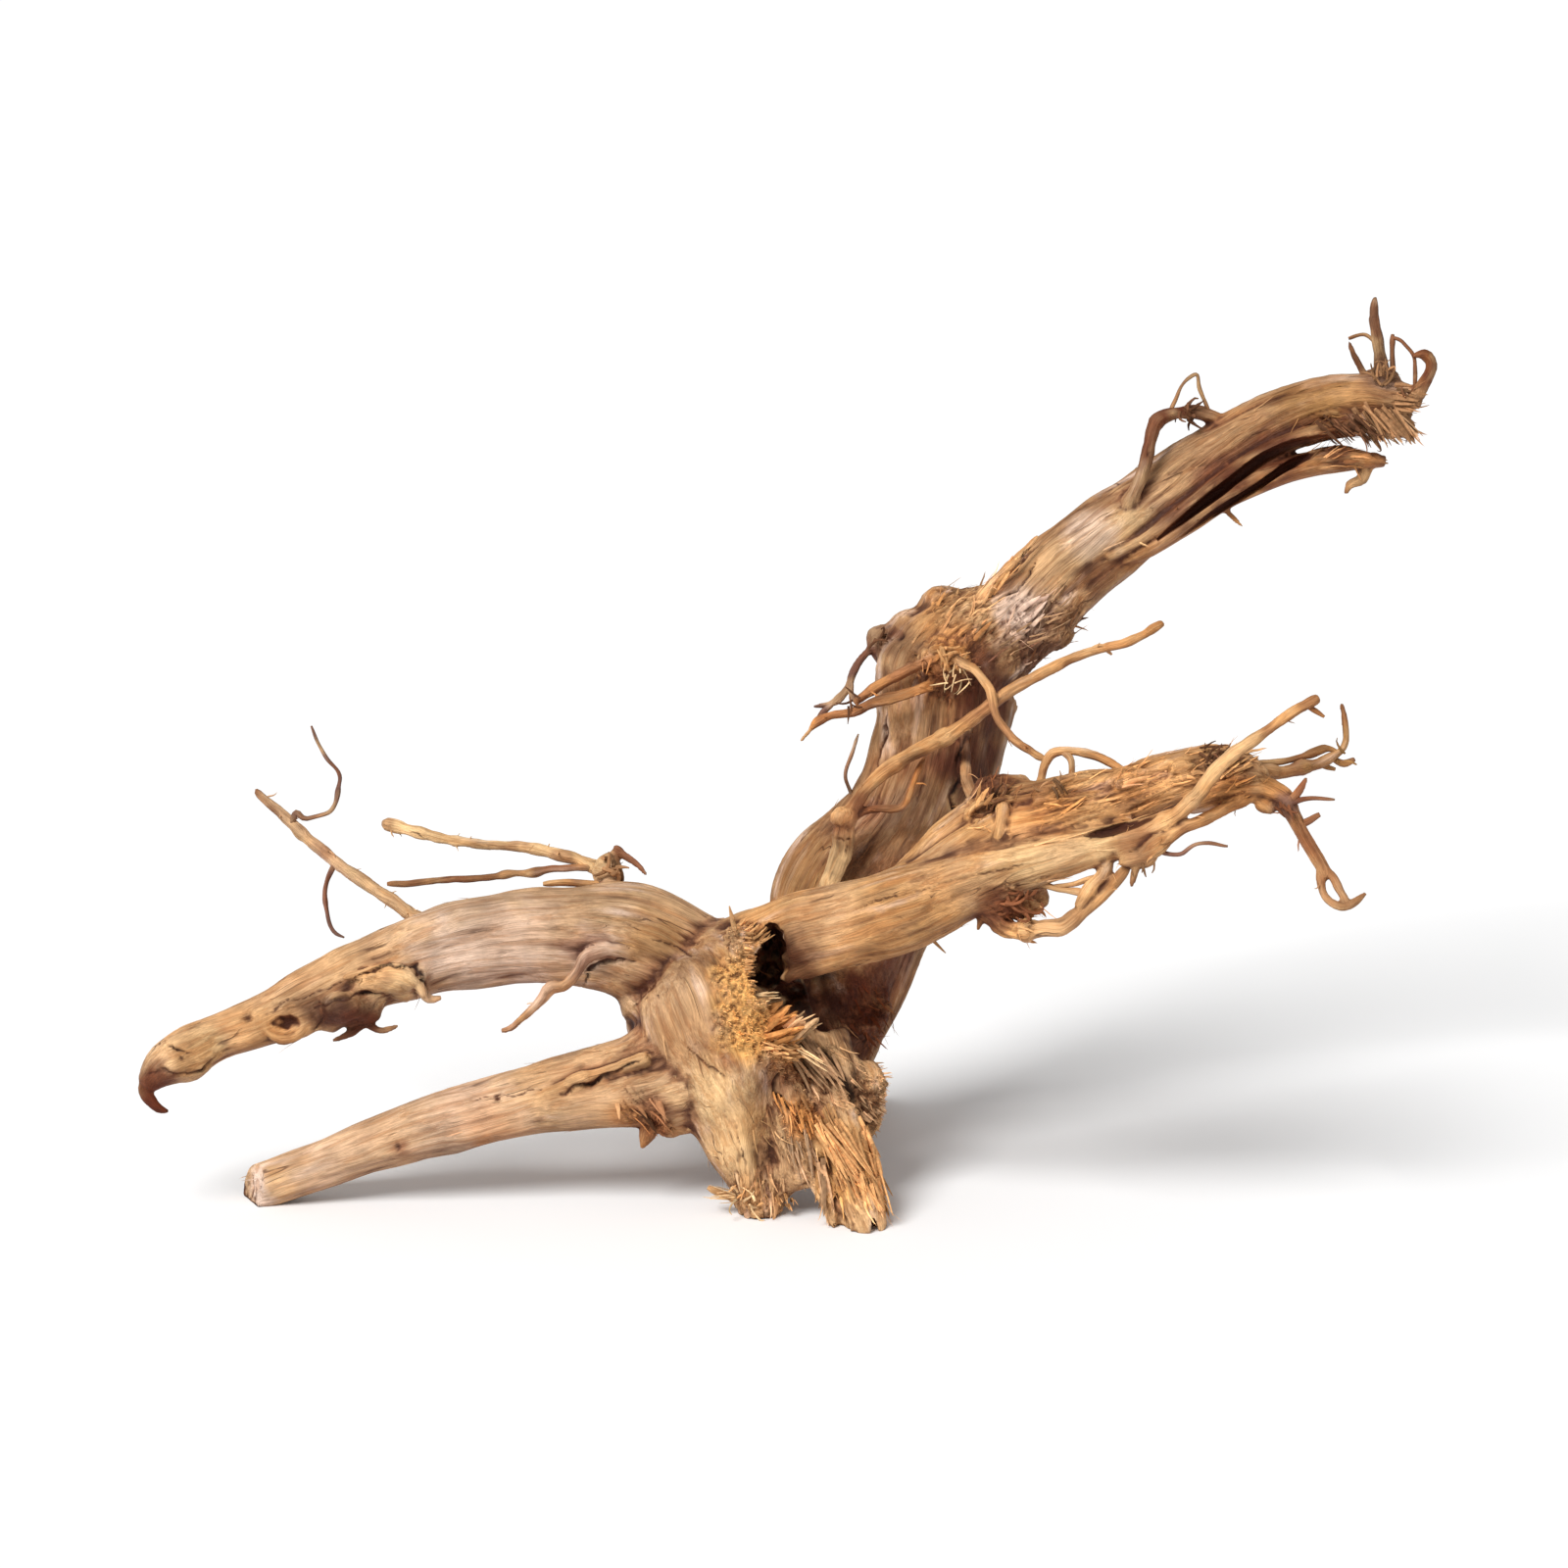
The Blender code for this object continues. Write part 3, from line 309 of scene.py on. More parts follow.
    "rear_twig_high": [(46, -10, 40, 6.5), (44, -2, 60, 5), (48, 10, 76, 4), (42, 17, 92, 2.6)],
}

# Hollows carved out of the fused wood: (across, up, back, width, height, depth, roughness).
HOLLOWS = {
    "mouth_high": (-3.5, -55, -24, 9, 15, 40, 0.35),
    "mouth": (-6, -64, -22, 13, 17, 46, 0.35),
    "mouth_low": (3, -72.5, -16, 19, 12, 42, 0.35),
    "eye": (-169.3, -81.2, -34, 10.5, 6, 12, 0.2),
}

# Lumps that only the finished skin has: (across, up, back, width, height, depth).
LUMPS = {
    "tip_top": (-206, -89.5, -31, 10, 8, 8), "tip_bulge": (-197, -91.5, -32, 11, 8, 7),
    "tip_low": (-199, -96.5, -30, 8, 6, 8), "lobe": (-134, -66.5, -32, 24, 9, 10),
    "lobe_foot": (-150, -76, -33, 14, 10, 10), "web_low": (4, -131, -16, 21, 16, 16),
    "web_mid": (10, -122, -16, 20, 20, 20), "web_high": (1, -114, -19, 17, 30, 15),
    "log_lump": (92, -6, -60, 16, 12, 12), "log_lump_far": (118, 1, -66, 15, 10, 10),
    "log_lump_end": (136, 5, -70, 12, 9, 9), "trunk_shoulder": (40, 40, 22, 16, 20, 14),
    "thorn_root": (-52, -109, -16, 14, 9, 10), "stick_knuckle": (20.5, -11.5, 3, 10.5, 8.5, 10),
}
# Root that only the finished skin has, as (across, up, back, width).
EXTRA_ROOTS = {
    "eye_loop": [(-162, -79.5, -28, 2.4), (-163, -83, -28.8, 3), (-166.5, -85.8, -30.2, 3.8),
        (-171.5, -86.2, -30.6, 4), (-175.8, -83.4, -30.6, 3.2), (-176.6, -79.6, -30.2, 2.4),
        (-174, -76, -29.4, 1.6)],
    "lobe_curl": [(-150, -66, -34, 3), (-138, -63, -34, 3.4), (-129, -63.8, -33, 4), (-124.4, -68, -32, 3.6),
        (-122, -73, -30, 3)],
    "peel_strip": [(64, 60, 22, 3), (70, 67, 20, 3.4), (79, 76.5, 19, 3.6), (86.5, 84.5, 21, 2)],
    "foot_rib": [(-24, -100, -27, 5), (-16, -112, -26, 6), (-13, -126, -24, 6), (-12, -141, -21, 5)],
    "thorn_fold": [(-62, -108.5, -17, 4), (-54, -108, -20, 5.4), (-48, -110, -20, 5.6),
        (-44.5, -115, -18, 5)],
    "thorn_strip": [(-47, -114, -16, 4), (-41, -117.5, -15, 3.8), (-34, -118, -11, 3.6), (-28, -116, -8, 3)],
    "pocket_root": [(62, -12, -56, 3.4), (66, -7, -59, 3.3), (76, -5, -60, 3), (90, -4, -62, 2.6)],
}

# The dark slots under the trunk's shell, the gap between the branch and its log, and the notches and the arch
# of the foot, cut as (across, up, back, width), and how much deeper than wide they are.
SLOTS = {
    "shell_slot": [(127, 83, 22, 1.6), (138.5, 92.2, 21, 3.6), (150, 101, 20, 4.4), (163, 110.7, 18, 4.6),
        (176, 116, 16, 4.2), (190, 118.6, 14, 3)],
    "shell_lip": [(176, 121.5, 15, 1.6), (189, 124.2, 12, 2.6), (203, 125, 10, 2.6), (217, 123.6, 9, 2.4)],
    "strip_slot": [(132, 81.5, 24, 1.4), (145, 91, 23, 3), (160, 101, 21, 3.6), (174, 109.5, 19, 3.6),
        (184, 114, 18, 2.4)],
    "branch_gap": [(100, -17.5, -76, 1.6), (107, -16.5, -76, 3.6), (116, -14, -77, 4.4),
        (124, -11, -78, 3.6), (130, -7, -78, 1.6)],
    "wedge_notch": [(17, -139.5, -28, 1.2), (17.6, -144, -30, 3), (19, -149, -32, 5.6), (20, -158, -34, 8)],
    "wedge_notch_right": [(28.5, -142, -26, 1), (30, -147, -28, 2.6), (31, -158, -32, 5)],
    "web_arch": [(10, -136, -18, 2), (9, -141, -18, 8), (9, -148, -18, 12), (9, -158, -18, 14)],
}
SLOT_THICKNESS = 2.5
# Where the edge of the mouth is worn round: (across, up, back), reach in millimetres and how far.
WORN = ((2, -59, -34), 13, 60)
# The sawn end of the lower arm: a place on it (across, up, back), the way it faces, and how far it reaches.
SAWN_END = ((-180.3, -138, -3.5), (-0.88, 0.05, -0.47))
SAWN_REACH = 20 * MM

# Crumbled wood: (across, up, back, reach) and the way its fibres were pulled.
TORN = {
    "rim_high": ((-14, -52, -26, 8), (0.75, 0.35, -0.45)),
    "rim": ((-15, -66, -30, 9), (0.8, 0.0, -0.5)),
    "rim_low": ((-14, -82, -30, 11), (0.8, -0.1, -0.5)),
    "bundle": ((-3, -87, -24, 12), (0.8, 0.45, -0.35)),
    "mouth_floor": ((4, -97, -18, 9), (0.7, -0.4, -0.5)),
    "stump_end": ((25, -110, -10, 11), (0.75, -0.55, -0.3)),
    "lint": ((6, -114, -22, 8), (0.4, -0.8, -0.4)),
    "heel_end": ((-8, -144, -14, 9), (-0.1, -1.0, -0.2)),
    "stump_rim": ((29, -106, -4, 10), (0.8, -0.4, -0.3)),
    "stump_foot": ((28, -117, -8, 7), (0.6, -0.7, -0.3)),
    "thorn": ((-43, -115, -16, 6), (0.3, -0.9, -0.2)),
}

# Shredded wood, whose fibres lie loose: (across, up, back, reach) and the way they run.
SHREDDED = {
    "stump": ((17, -100, -12, 14), (0.66, -0.74, -0.12)),
    "thorn": ((-48, -108, -18, 10), (0.55, -0.8, 0.0)),
    "wedge": ((22, -134, -28, 18), (0.45, -0.88, -0.1)),
    "heel": ((-8, -138, -18, 12), (-0.05, -1.0, -0.1)),
    "under_trunk": ((30, -78, 8, 15), (0.42, -0.9, 0.05)),
    "web": ((3, -117, -26, 12), (0.35, -0.93, -0.05)),
    "rag": ((206, 117, 14, 9), (0.75, -0.65, 0.0)),
    "trunk_end": ((212, 130, 12, 6), (1.0, -0.1, 0.0)),
    "log_end": ((150, 4, -72, 13), (0.9, 0.35, -0.2)),
    "log_top": ((98, -3, -66, 13), (0.94, 0.3, -0.1)),
    "log_low": ((124, 2, -70, 12), (0.9, 0.4, -0.1)),
    "log_pocket": ((70, -6, -54, 11), (0.3, 0.9, -0.3)),
    "clump": ((78, -43, -62, 10), (0.85, -0.5, -0.1)),
    "elbow_fray": ((88, 50, 26, 17), (0.62, 0.55, -0.5)),
    "elbow_cap": ((62, 58, 20, 14), (0.6, 0.75, -0.2)),
    "trunk_knot": ((56, 40, 10, 12), (-0.4, -0.3, -0.8)),
    "shell_under": ((186, 117, 16, 12), (0.96, 0.2, 0.0)),
    "leg_end": ((17, -117, 120, 13), (0.1, -0.4, 0.9)),
}

# Places where fine curly fibres lift off the wood: (across, up, back, reach).
FUZZ = [
    (80, -10, -60, 20), (104, -6, -66, 18), (130, 2, -68, 16), (152, 4, -72, 14), (58, 40, 12, 16),
    (85, 55, 22, 18), (105, 68, 22, 14), (62, 58, 18, 14), (206, 136, 18, 12), (36, -2, 6, 8),
    (80, -42, -62, 14), (6, -88, -20, 12), (-48, -108, -16, 10), (110, -32, -72, 10), (-138, -80, -28, 9),
    (44, -8, 4, 10),
]

# Cracks on the showing side, sunk into the skin and painted black inside as painted shade: (width, depth) in
# millimetres and the places they run through.
CRACKS = {
    "lobe_edge": ((1.2, 2.2), [(-147, -65.5, -34), (-134, -61.5, -30), (-126, -62.5, -30), (-122, -67, -30),
        (-121, -71, -28)]),
    "lobe_under": ((1.4, 1.8), [(-160, -76, -34), (-154, -74.5, -36), (-146, -71, -36), (-136, -71.5, -34)]),
    "knob_side": ((1.6, 2.2), [(-158, -74, -36), (-157, -80, -36), (-160, -84, -34)]),
    "tip_crease": ((1.2, 1.5), [(-212, -86, -34), (-207, -90, -36), (-200, -91, -36)]),
    "beak_line": ((1.4, 2.0), [(-217.5, -97.5, -31), (-212, -97, -34), (-206, -98.8, -35)]),
    "tip_fold": ((1.6, 2.2), [(-206, -99, -35), (-198, -98, -35), (-193, -93, -34)]),
    "arm_line": ((0.7, 0.6), [(-180, -80, -34), (-165, -73, -32), (-150, -68, -30)]),
    "lower_arm_split": ((0.8, 1.0), [(-104, -108, -18), (-96, -106, -19), (-82, -104.5, -20)]),
    "ridge_shade": ((1.4, 1.8), [(-76, -106, -22), (-66, -101.5, -23), (-55, -97, -25), (-47, -92.5, -26)]),
    "hub_fold": ((0.8, 0.9), [(-34, -87, -30), (-25, -97, -30), (-18, -101, -28)]),
    "foot_line": ((0.8, 0.9), [(-16, -120, -24), (-13.5, -128, -22), (-12.5, -137, -20)]),
    "foot_split": ((1.5, 2.6), [(-1, -96, -20), (-3, -104, -22), (3, -112, -22), (8, -120, -24),
        (12, -132, -26)]),
    "stump_gap": ((2.2, 3.4), [(9, -86, -8), (19, -99, -6), (27, -112, -6)]),
    "stump_split": ((1.2, 2.2), [(2, -92, -16), (7, -99, -18), (9, -108, -18)]),
    "wedge_split": ((0.9, 1.8), [(17, -118, -26), (22, -130, -30), (26, -141, -31)]),
    "wedge_split_low": ((0.9, 1.6), [(24, -123, -24), (28, -134, -27), (31, -144, -29)]),
    "trunk_split": ((1.2, 1.6), [(31, 4, 10), (33.5, 14, 10), (35, 26, 10)]),
    "trunk_seam": ((1.6, 1.8), [(59, -16, 12), (57.5, -4, 12), (60, 10, 13), (63, 22, 14)]),
    "sawn_crack": ((0.7, 1.2), [(-181, -133, -8), (-180, -138, -8), (-182, -143, -6)]),
    "sawn_crack_low": ((0.6, 1.0), [(-178, -136, -10), (-180, -140, -8), (-179, -144, -8)]),
    "knuckle_ring": ((1.1, 1.4), [(16, -17.2, 1), (20, -18.4, -0.5), (24.5, -17.6, 1)]),
    "elbow_seam": ((1.0, 1.4), [(62, 58, 16), (70, 61, 18), (80, 66, 20), (86, 76, 20)]),
    "peel_line": ((1.0, 1.6), [(70, 64.5, 20), (79, 74, 20), (87, 82.5, 22)]),
    "branch_seam": ((0.8, 0.45), [(24, -42, -52), (44, -36.5, -64), (66, -31, -72), (88, -26.5, -76)]),
    "hub_wrinkle": ((0.8, 0.8), [(-46, -52, -24), (-36, -56, -27), (-27, -62, -28)]),
    "thorn_shade": ((1.8, 2.4), [(-53, -111, -18), (-47, -113, -18), (-42, -117, -16)]),
    "arm_root_shade": ((1.2, 1.8), [(-50, -60.5, -22), (-60, -60, -26), (-67, -64, -28), (-69, -70, -28)]),
}

# Small round pits: (across, up, back), radius and depth in millimetres. A pit is sunk and painted dark inside
# as painted shade, like the cracks.
PITS = [
    ((-183, -78.5, -33), 2.1, 3.0), ((-205, -93.5, -35), 1.0, 1.2), ((-108, -107.5, -18), 1.6, -1.2),
    ((-60, -58, -27), 1.6, 1.0), ((40, 50, 20), 1.8, 1.6), ((-97.8, -106.6, -18), 1.4, 1.4),
    ((-131.2, -123.3, -15), 1.2, 0.8), ((78, -30, -74), 1.1, 1.4), ((185, 128, 8), 0.9, 1.0),
]

# Bundles of broken fibres: the line they stand on, their pull, how many, (length, width, spread) in
# millimetres and their colour.
BUNDLES = {
    "rim_high": (((-15, -48, -22), (-6, -52, -26)), (0.75, 0.6, -0.2), 30, (3, 0.8, 3), "gold"),
    "rim": (((-12, -54, -27), (-11, -74, -30)), (0.95, 0.05, -0.3), 90, (1.8, 0.8, 3.6), "gold"),
    "rim_low": (((-13, -76, -30), (-10, -92, -28)), (0.8, -0.2, -0.5), 90, (1.8, 0.8, 3.6), "gold"),
    "tooth": (((-10, -72, -26), (-8, -74, -26)), (1.0, 0.12, -0.1), 9, (10, 1.3, 1.6), "straw"),
    "bundle": (((-5, -78, -24), (0, -88, -26)), (0.82, 0.5, -0.25), 34, (9, 2.8, 4), "orange"),
    "bundle_tip": (((2, -81, -24), (7, -85, -24)), (0.8, 0.55, -0.2), 16, (7, 1.8, 2.5), "light_gold"),
    "bundle_low": (((-6, -90, -28), (5, -92, -26)), (0.85, -0.2, -0.4), 60, (3, 1.1, 3.4), "gold"),
    "whisker": (((8, -92, -26), (9, -93, -26)), (0.75, -0.6, -0.2), 4, (9, 1.0, 1), "straw"),
    "stump": (((4, -90, -18), (16, -98, -14)), (0.62, -0.76, -0.12), 50, (12, 1.7, 5), "tan"),
    "stump_back": (((16, -96, -8), (24, -104, -6)), (0.62, -0.76, -0.05), 50, (9, 1.4, 4), "brown"),
    "stump_end": (((20, -104, -12), (27, -117, -10)), (0.7, -0.6, -0.25), 110, (3.2, 1.3, 5.5), "tan"),
    "stump_rim": (((29, -98, -4), (31, -114, -6)), (0.8, -0.4, -0.3), 70, (3, 1.2, 4), "beige"),
    "stump_fray": (((27, -97, -2), (31, -102, -4)), (0.97, 0.1, -0.1), 18, (7, 0.9, 2.4), "beige"),
    "lint": (((-4, -107, -24), (14, -119, -27)), (0.4, -0.8, -0.4), 46, (4, 1.1, 3.4), "orange"),
    "wedge": (((15, -118, -26), (23, -128, -29)), (0.48, -0.87, -0.1), 80, (13, 1.5, 5.6), "gold"),
    "wedge_right": (((26, -120, -18), (30, -132, -22)), (0.3, -0.95, -0.05), 40, (12, 1.5, 4), "gold"),
    "wedge_end": (((20, -135, -28), (31, -140, -26)), (0.35, -0.9, -0.1), 100, (8, 1.3, 4.4), "gold"),
    "wedge_tip_left": (((12, -134, -27), (14, -137, -28)), (0.1, -1.0, -0.1), 12, (12, 1.8, 1.4), "tan"),
    "wedge_tip_right": (((31, -138, -24), (33, -141, -24)), (0.2, -1.0, -0.1), 9, (9, 1.6, 1.2), "gold"),
    "web": (((3, -120, -22), (8, -127, -23)), (0.25, -0.95, -0.1), 60, (9, 1.2, 4.4), "beige"),
    "heel_left": (((-17, -139, -16), (-9, -142, -22)), (-0.75, -0.5, -0.4), 20, (3, 0.8, 3.4), "gold"),
    "heel": (((-8, -142, -20), (2, -142, -19)), (0.3, -0.6, -0.7), 20, (2.4, 0.8, 3.4), "gold"),
    "heel_back": (((-16, -141, -2), (0, -141, -2)), (0.0, -1.0, 0.1), 50, (5, 1.2, 4), "tan"),
    "heel_wisp": (((-20, -139, -16), (-17, -142, -16)), (-0.9, 0.1, -0.2), 14, (7, 0.8, 2), "straw"),
    "spur": (((11, -134, -25), (14, -138, -25)), (0.1, -1.0, -0.1), 12, (7, 1.4, 1.6), "gold"),
    "leg_end": (((12, -112, 116), (24, -112, 118)), (0.1, -0.5, 0.85), 50, (5, 1.4, 7), "brown"),
    "rag": (((197, 123, 12), (212, 123.5, 11)), (0.6, -0.78, -0.05), 38, (10, 2.0, 2.8), "brown"),
    "rag_dark": (((184, 121, 14), (200, 122, 12)), (0.75, -0.6, 0.0), 24, (8, 1.2, 2), "umber"),
    "rag_edge": (((203, 121, 12), (212, 122, 12)), (0.7, -0.7, 0.0), 18, (9, 1.5, 2.6), "tan"),
    "trunk_end": (((210, 126, 13), (210, 135, 12)), (1.0, -0.05, 0.0), 26, (5, 1.6, 3), "brown"),
    "strip_end": (((197, 110, 22), (200, 110, 22)), (1.0, 0.0, 0.0), 10, (7, 1.5, 1.6), "gold"),
    "log_end": (((150, 6, -72), (156, 4, -70)), (0.85, 0.45, -0.2), 26, (7, 1.3, 4), "gold"),
    "peel": (((70, 66, 20), (80, 76, 20)), (0.66, 0.75, -0.15), 12, (10, 2.0, 1.4), "gold"),
    "elbow_edge": (((74, 46, 18), (96, 58, 18)), (0.75, 0.35, -0.3), 20, (5, 0.8, 4), "tan"),
}

# Snarls of curled root: (across, up, back), reach, strands, (length, width) in millimetres, colour.
SNARLS = {
    "arm_knot": ((-60, -28.5, 2), 5.5, 9, (10, 1.6), "brown"),
    "trunk_knot": ((56, 42, 6), 8.0, 10, (10, 1.4), "gold"),
    "knot_whiskers": ((58, 36, 5), 7.0, 16, (8, 0.5), "straw"),
    "log_pocket": ((71, -6, -54), 7.0, 12, (9, 1.2), "umber", (0.1, 0.5, -0.2)),
    "log_top": ((92, -2, -63), 6.0, 7, (8, 1.0), "brown"),
    "log_crown": ((147, 8, -70), 8.0, 40, (5, 0.9), "umber", (0.45, 0.2, -0.1)),
    "clump": ((78, -41, -62), 8.0, 22, (13, 1.4), "red_brown", (0.4, -0.25, -0.05)),
    "branch_knot": ((121, -25, -76), 5.0, 9, (7, 1.1), "brown"),
    "hook": ((171, -8, -78), 5.0, 5, (5, 1.2), "red_brown"),
    "spike_tuft": ((203, 139, 14), 5.0, 16, (9, 0.9), "brown", (0.0, 0.5, -0.1)),
    "end_tuft": ((212, 132, 12), 3.0, 4, (6, 1.0), "umber"),
    "branchlet_top": ((137, 125, 24), 5.0, 10, (8, 1.3), "umber"),
    "elbow_stub": ((32, 49, 24), 3.0, 5, (7, 1.2), "umber"),
    "end_claws": ((190, 9, -58), 4.0, 3, (5, 0.9), "olive"),
    "heel": ((-12, -141, -20), 6.0, 9, (8, 0.9), "straw"),
    "rag": ((200, 117, 12), 6.0, 8, (9, 0.8), "umber", (0.7, -0.6, 0.0)),
    "trunk_side": ((24, 27, 12), 5.0, 5, (8, 0.9), "umber"),
}

# The wood's colours, as they look in soft light. dark, deep and black also serve as painted shade, and pale
# and straw as painted highlights.
COLOURS = {
    "pale": (240, 214, 201), "straw": (238, 200, 150), "light_gold": (229, 184, 136),
    "gold": (219, 164, 108), "honey": (240, 184, 112), "orange": (205, 140, 80), "beige": (203, 164, 127),
    "tan": (188, 147, 109), "brown": (158, 116, 80), "olive": (162, 118, 70), "grey": (176, 150, 130),
    "umber": (112, 74, 50), "red_brown": (140, 86, 56), "purple": (118, 84, 74), "deep": (96, 43, 20),
    "dark": (66, 28, 12), "black": (22, 8, 3),
}
# Which limbs and rootlets have which colour, and the colour of the rest.
TONE_ELSEWHERE = "gold"
TONE_GROUPS = {
    "beige": "arched_arm lower_arm far_stick",
    "tan": "hub inner_strip down_stick hook_loop hook_strand strip_spur arch_post",
    "light_gold": "torn_foot",
    "brown": (
        "trunk rear_leg rear_twig hook_spur_low branchlet_loop tuft_loop tuft_post strip_claw "
        "rear_rootlet"
    ),
    "olive": "torn_rag end_curl end_curl_upper end_claw end_claw_low",
    "orange": "hanging_strip left_twig_low left_twig_high hook_knuckle bent_twig",
    "purple": (
        "left_twig_back left_twig_fork left_twig_join far_curl far_drop hook_spur_fine "
        "strip_whisker"
    ),
    "grey": "side_hair",
    "straw": "rear_stick",
    "red_brown": "hook_spur knot_whisker",
    "umber": "claw_left claw_right spike tuft_strand end_loop rear_twig_high",
    "dark": "tip_claw",
    "deep": "trunk_branchlet end_root",
}
TONES = {piece: tone for tone, pieces in TONE_GROUPS.items() for piece in pieces.split()}
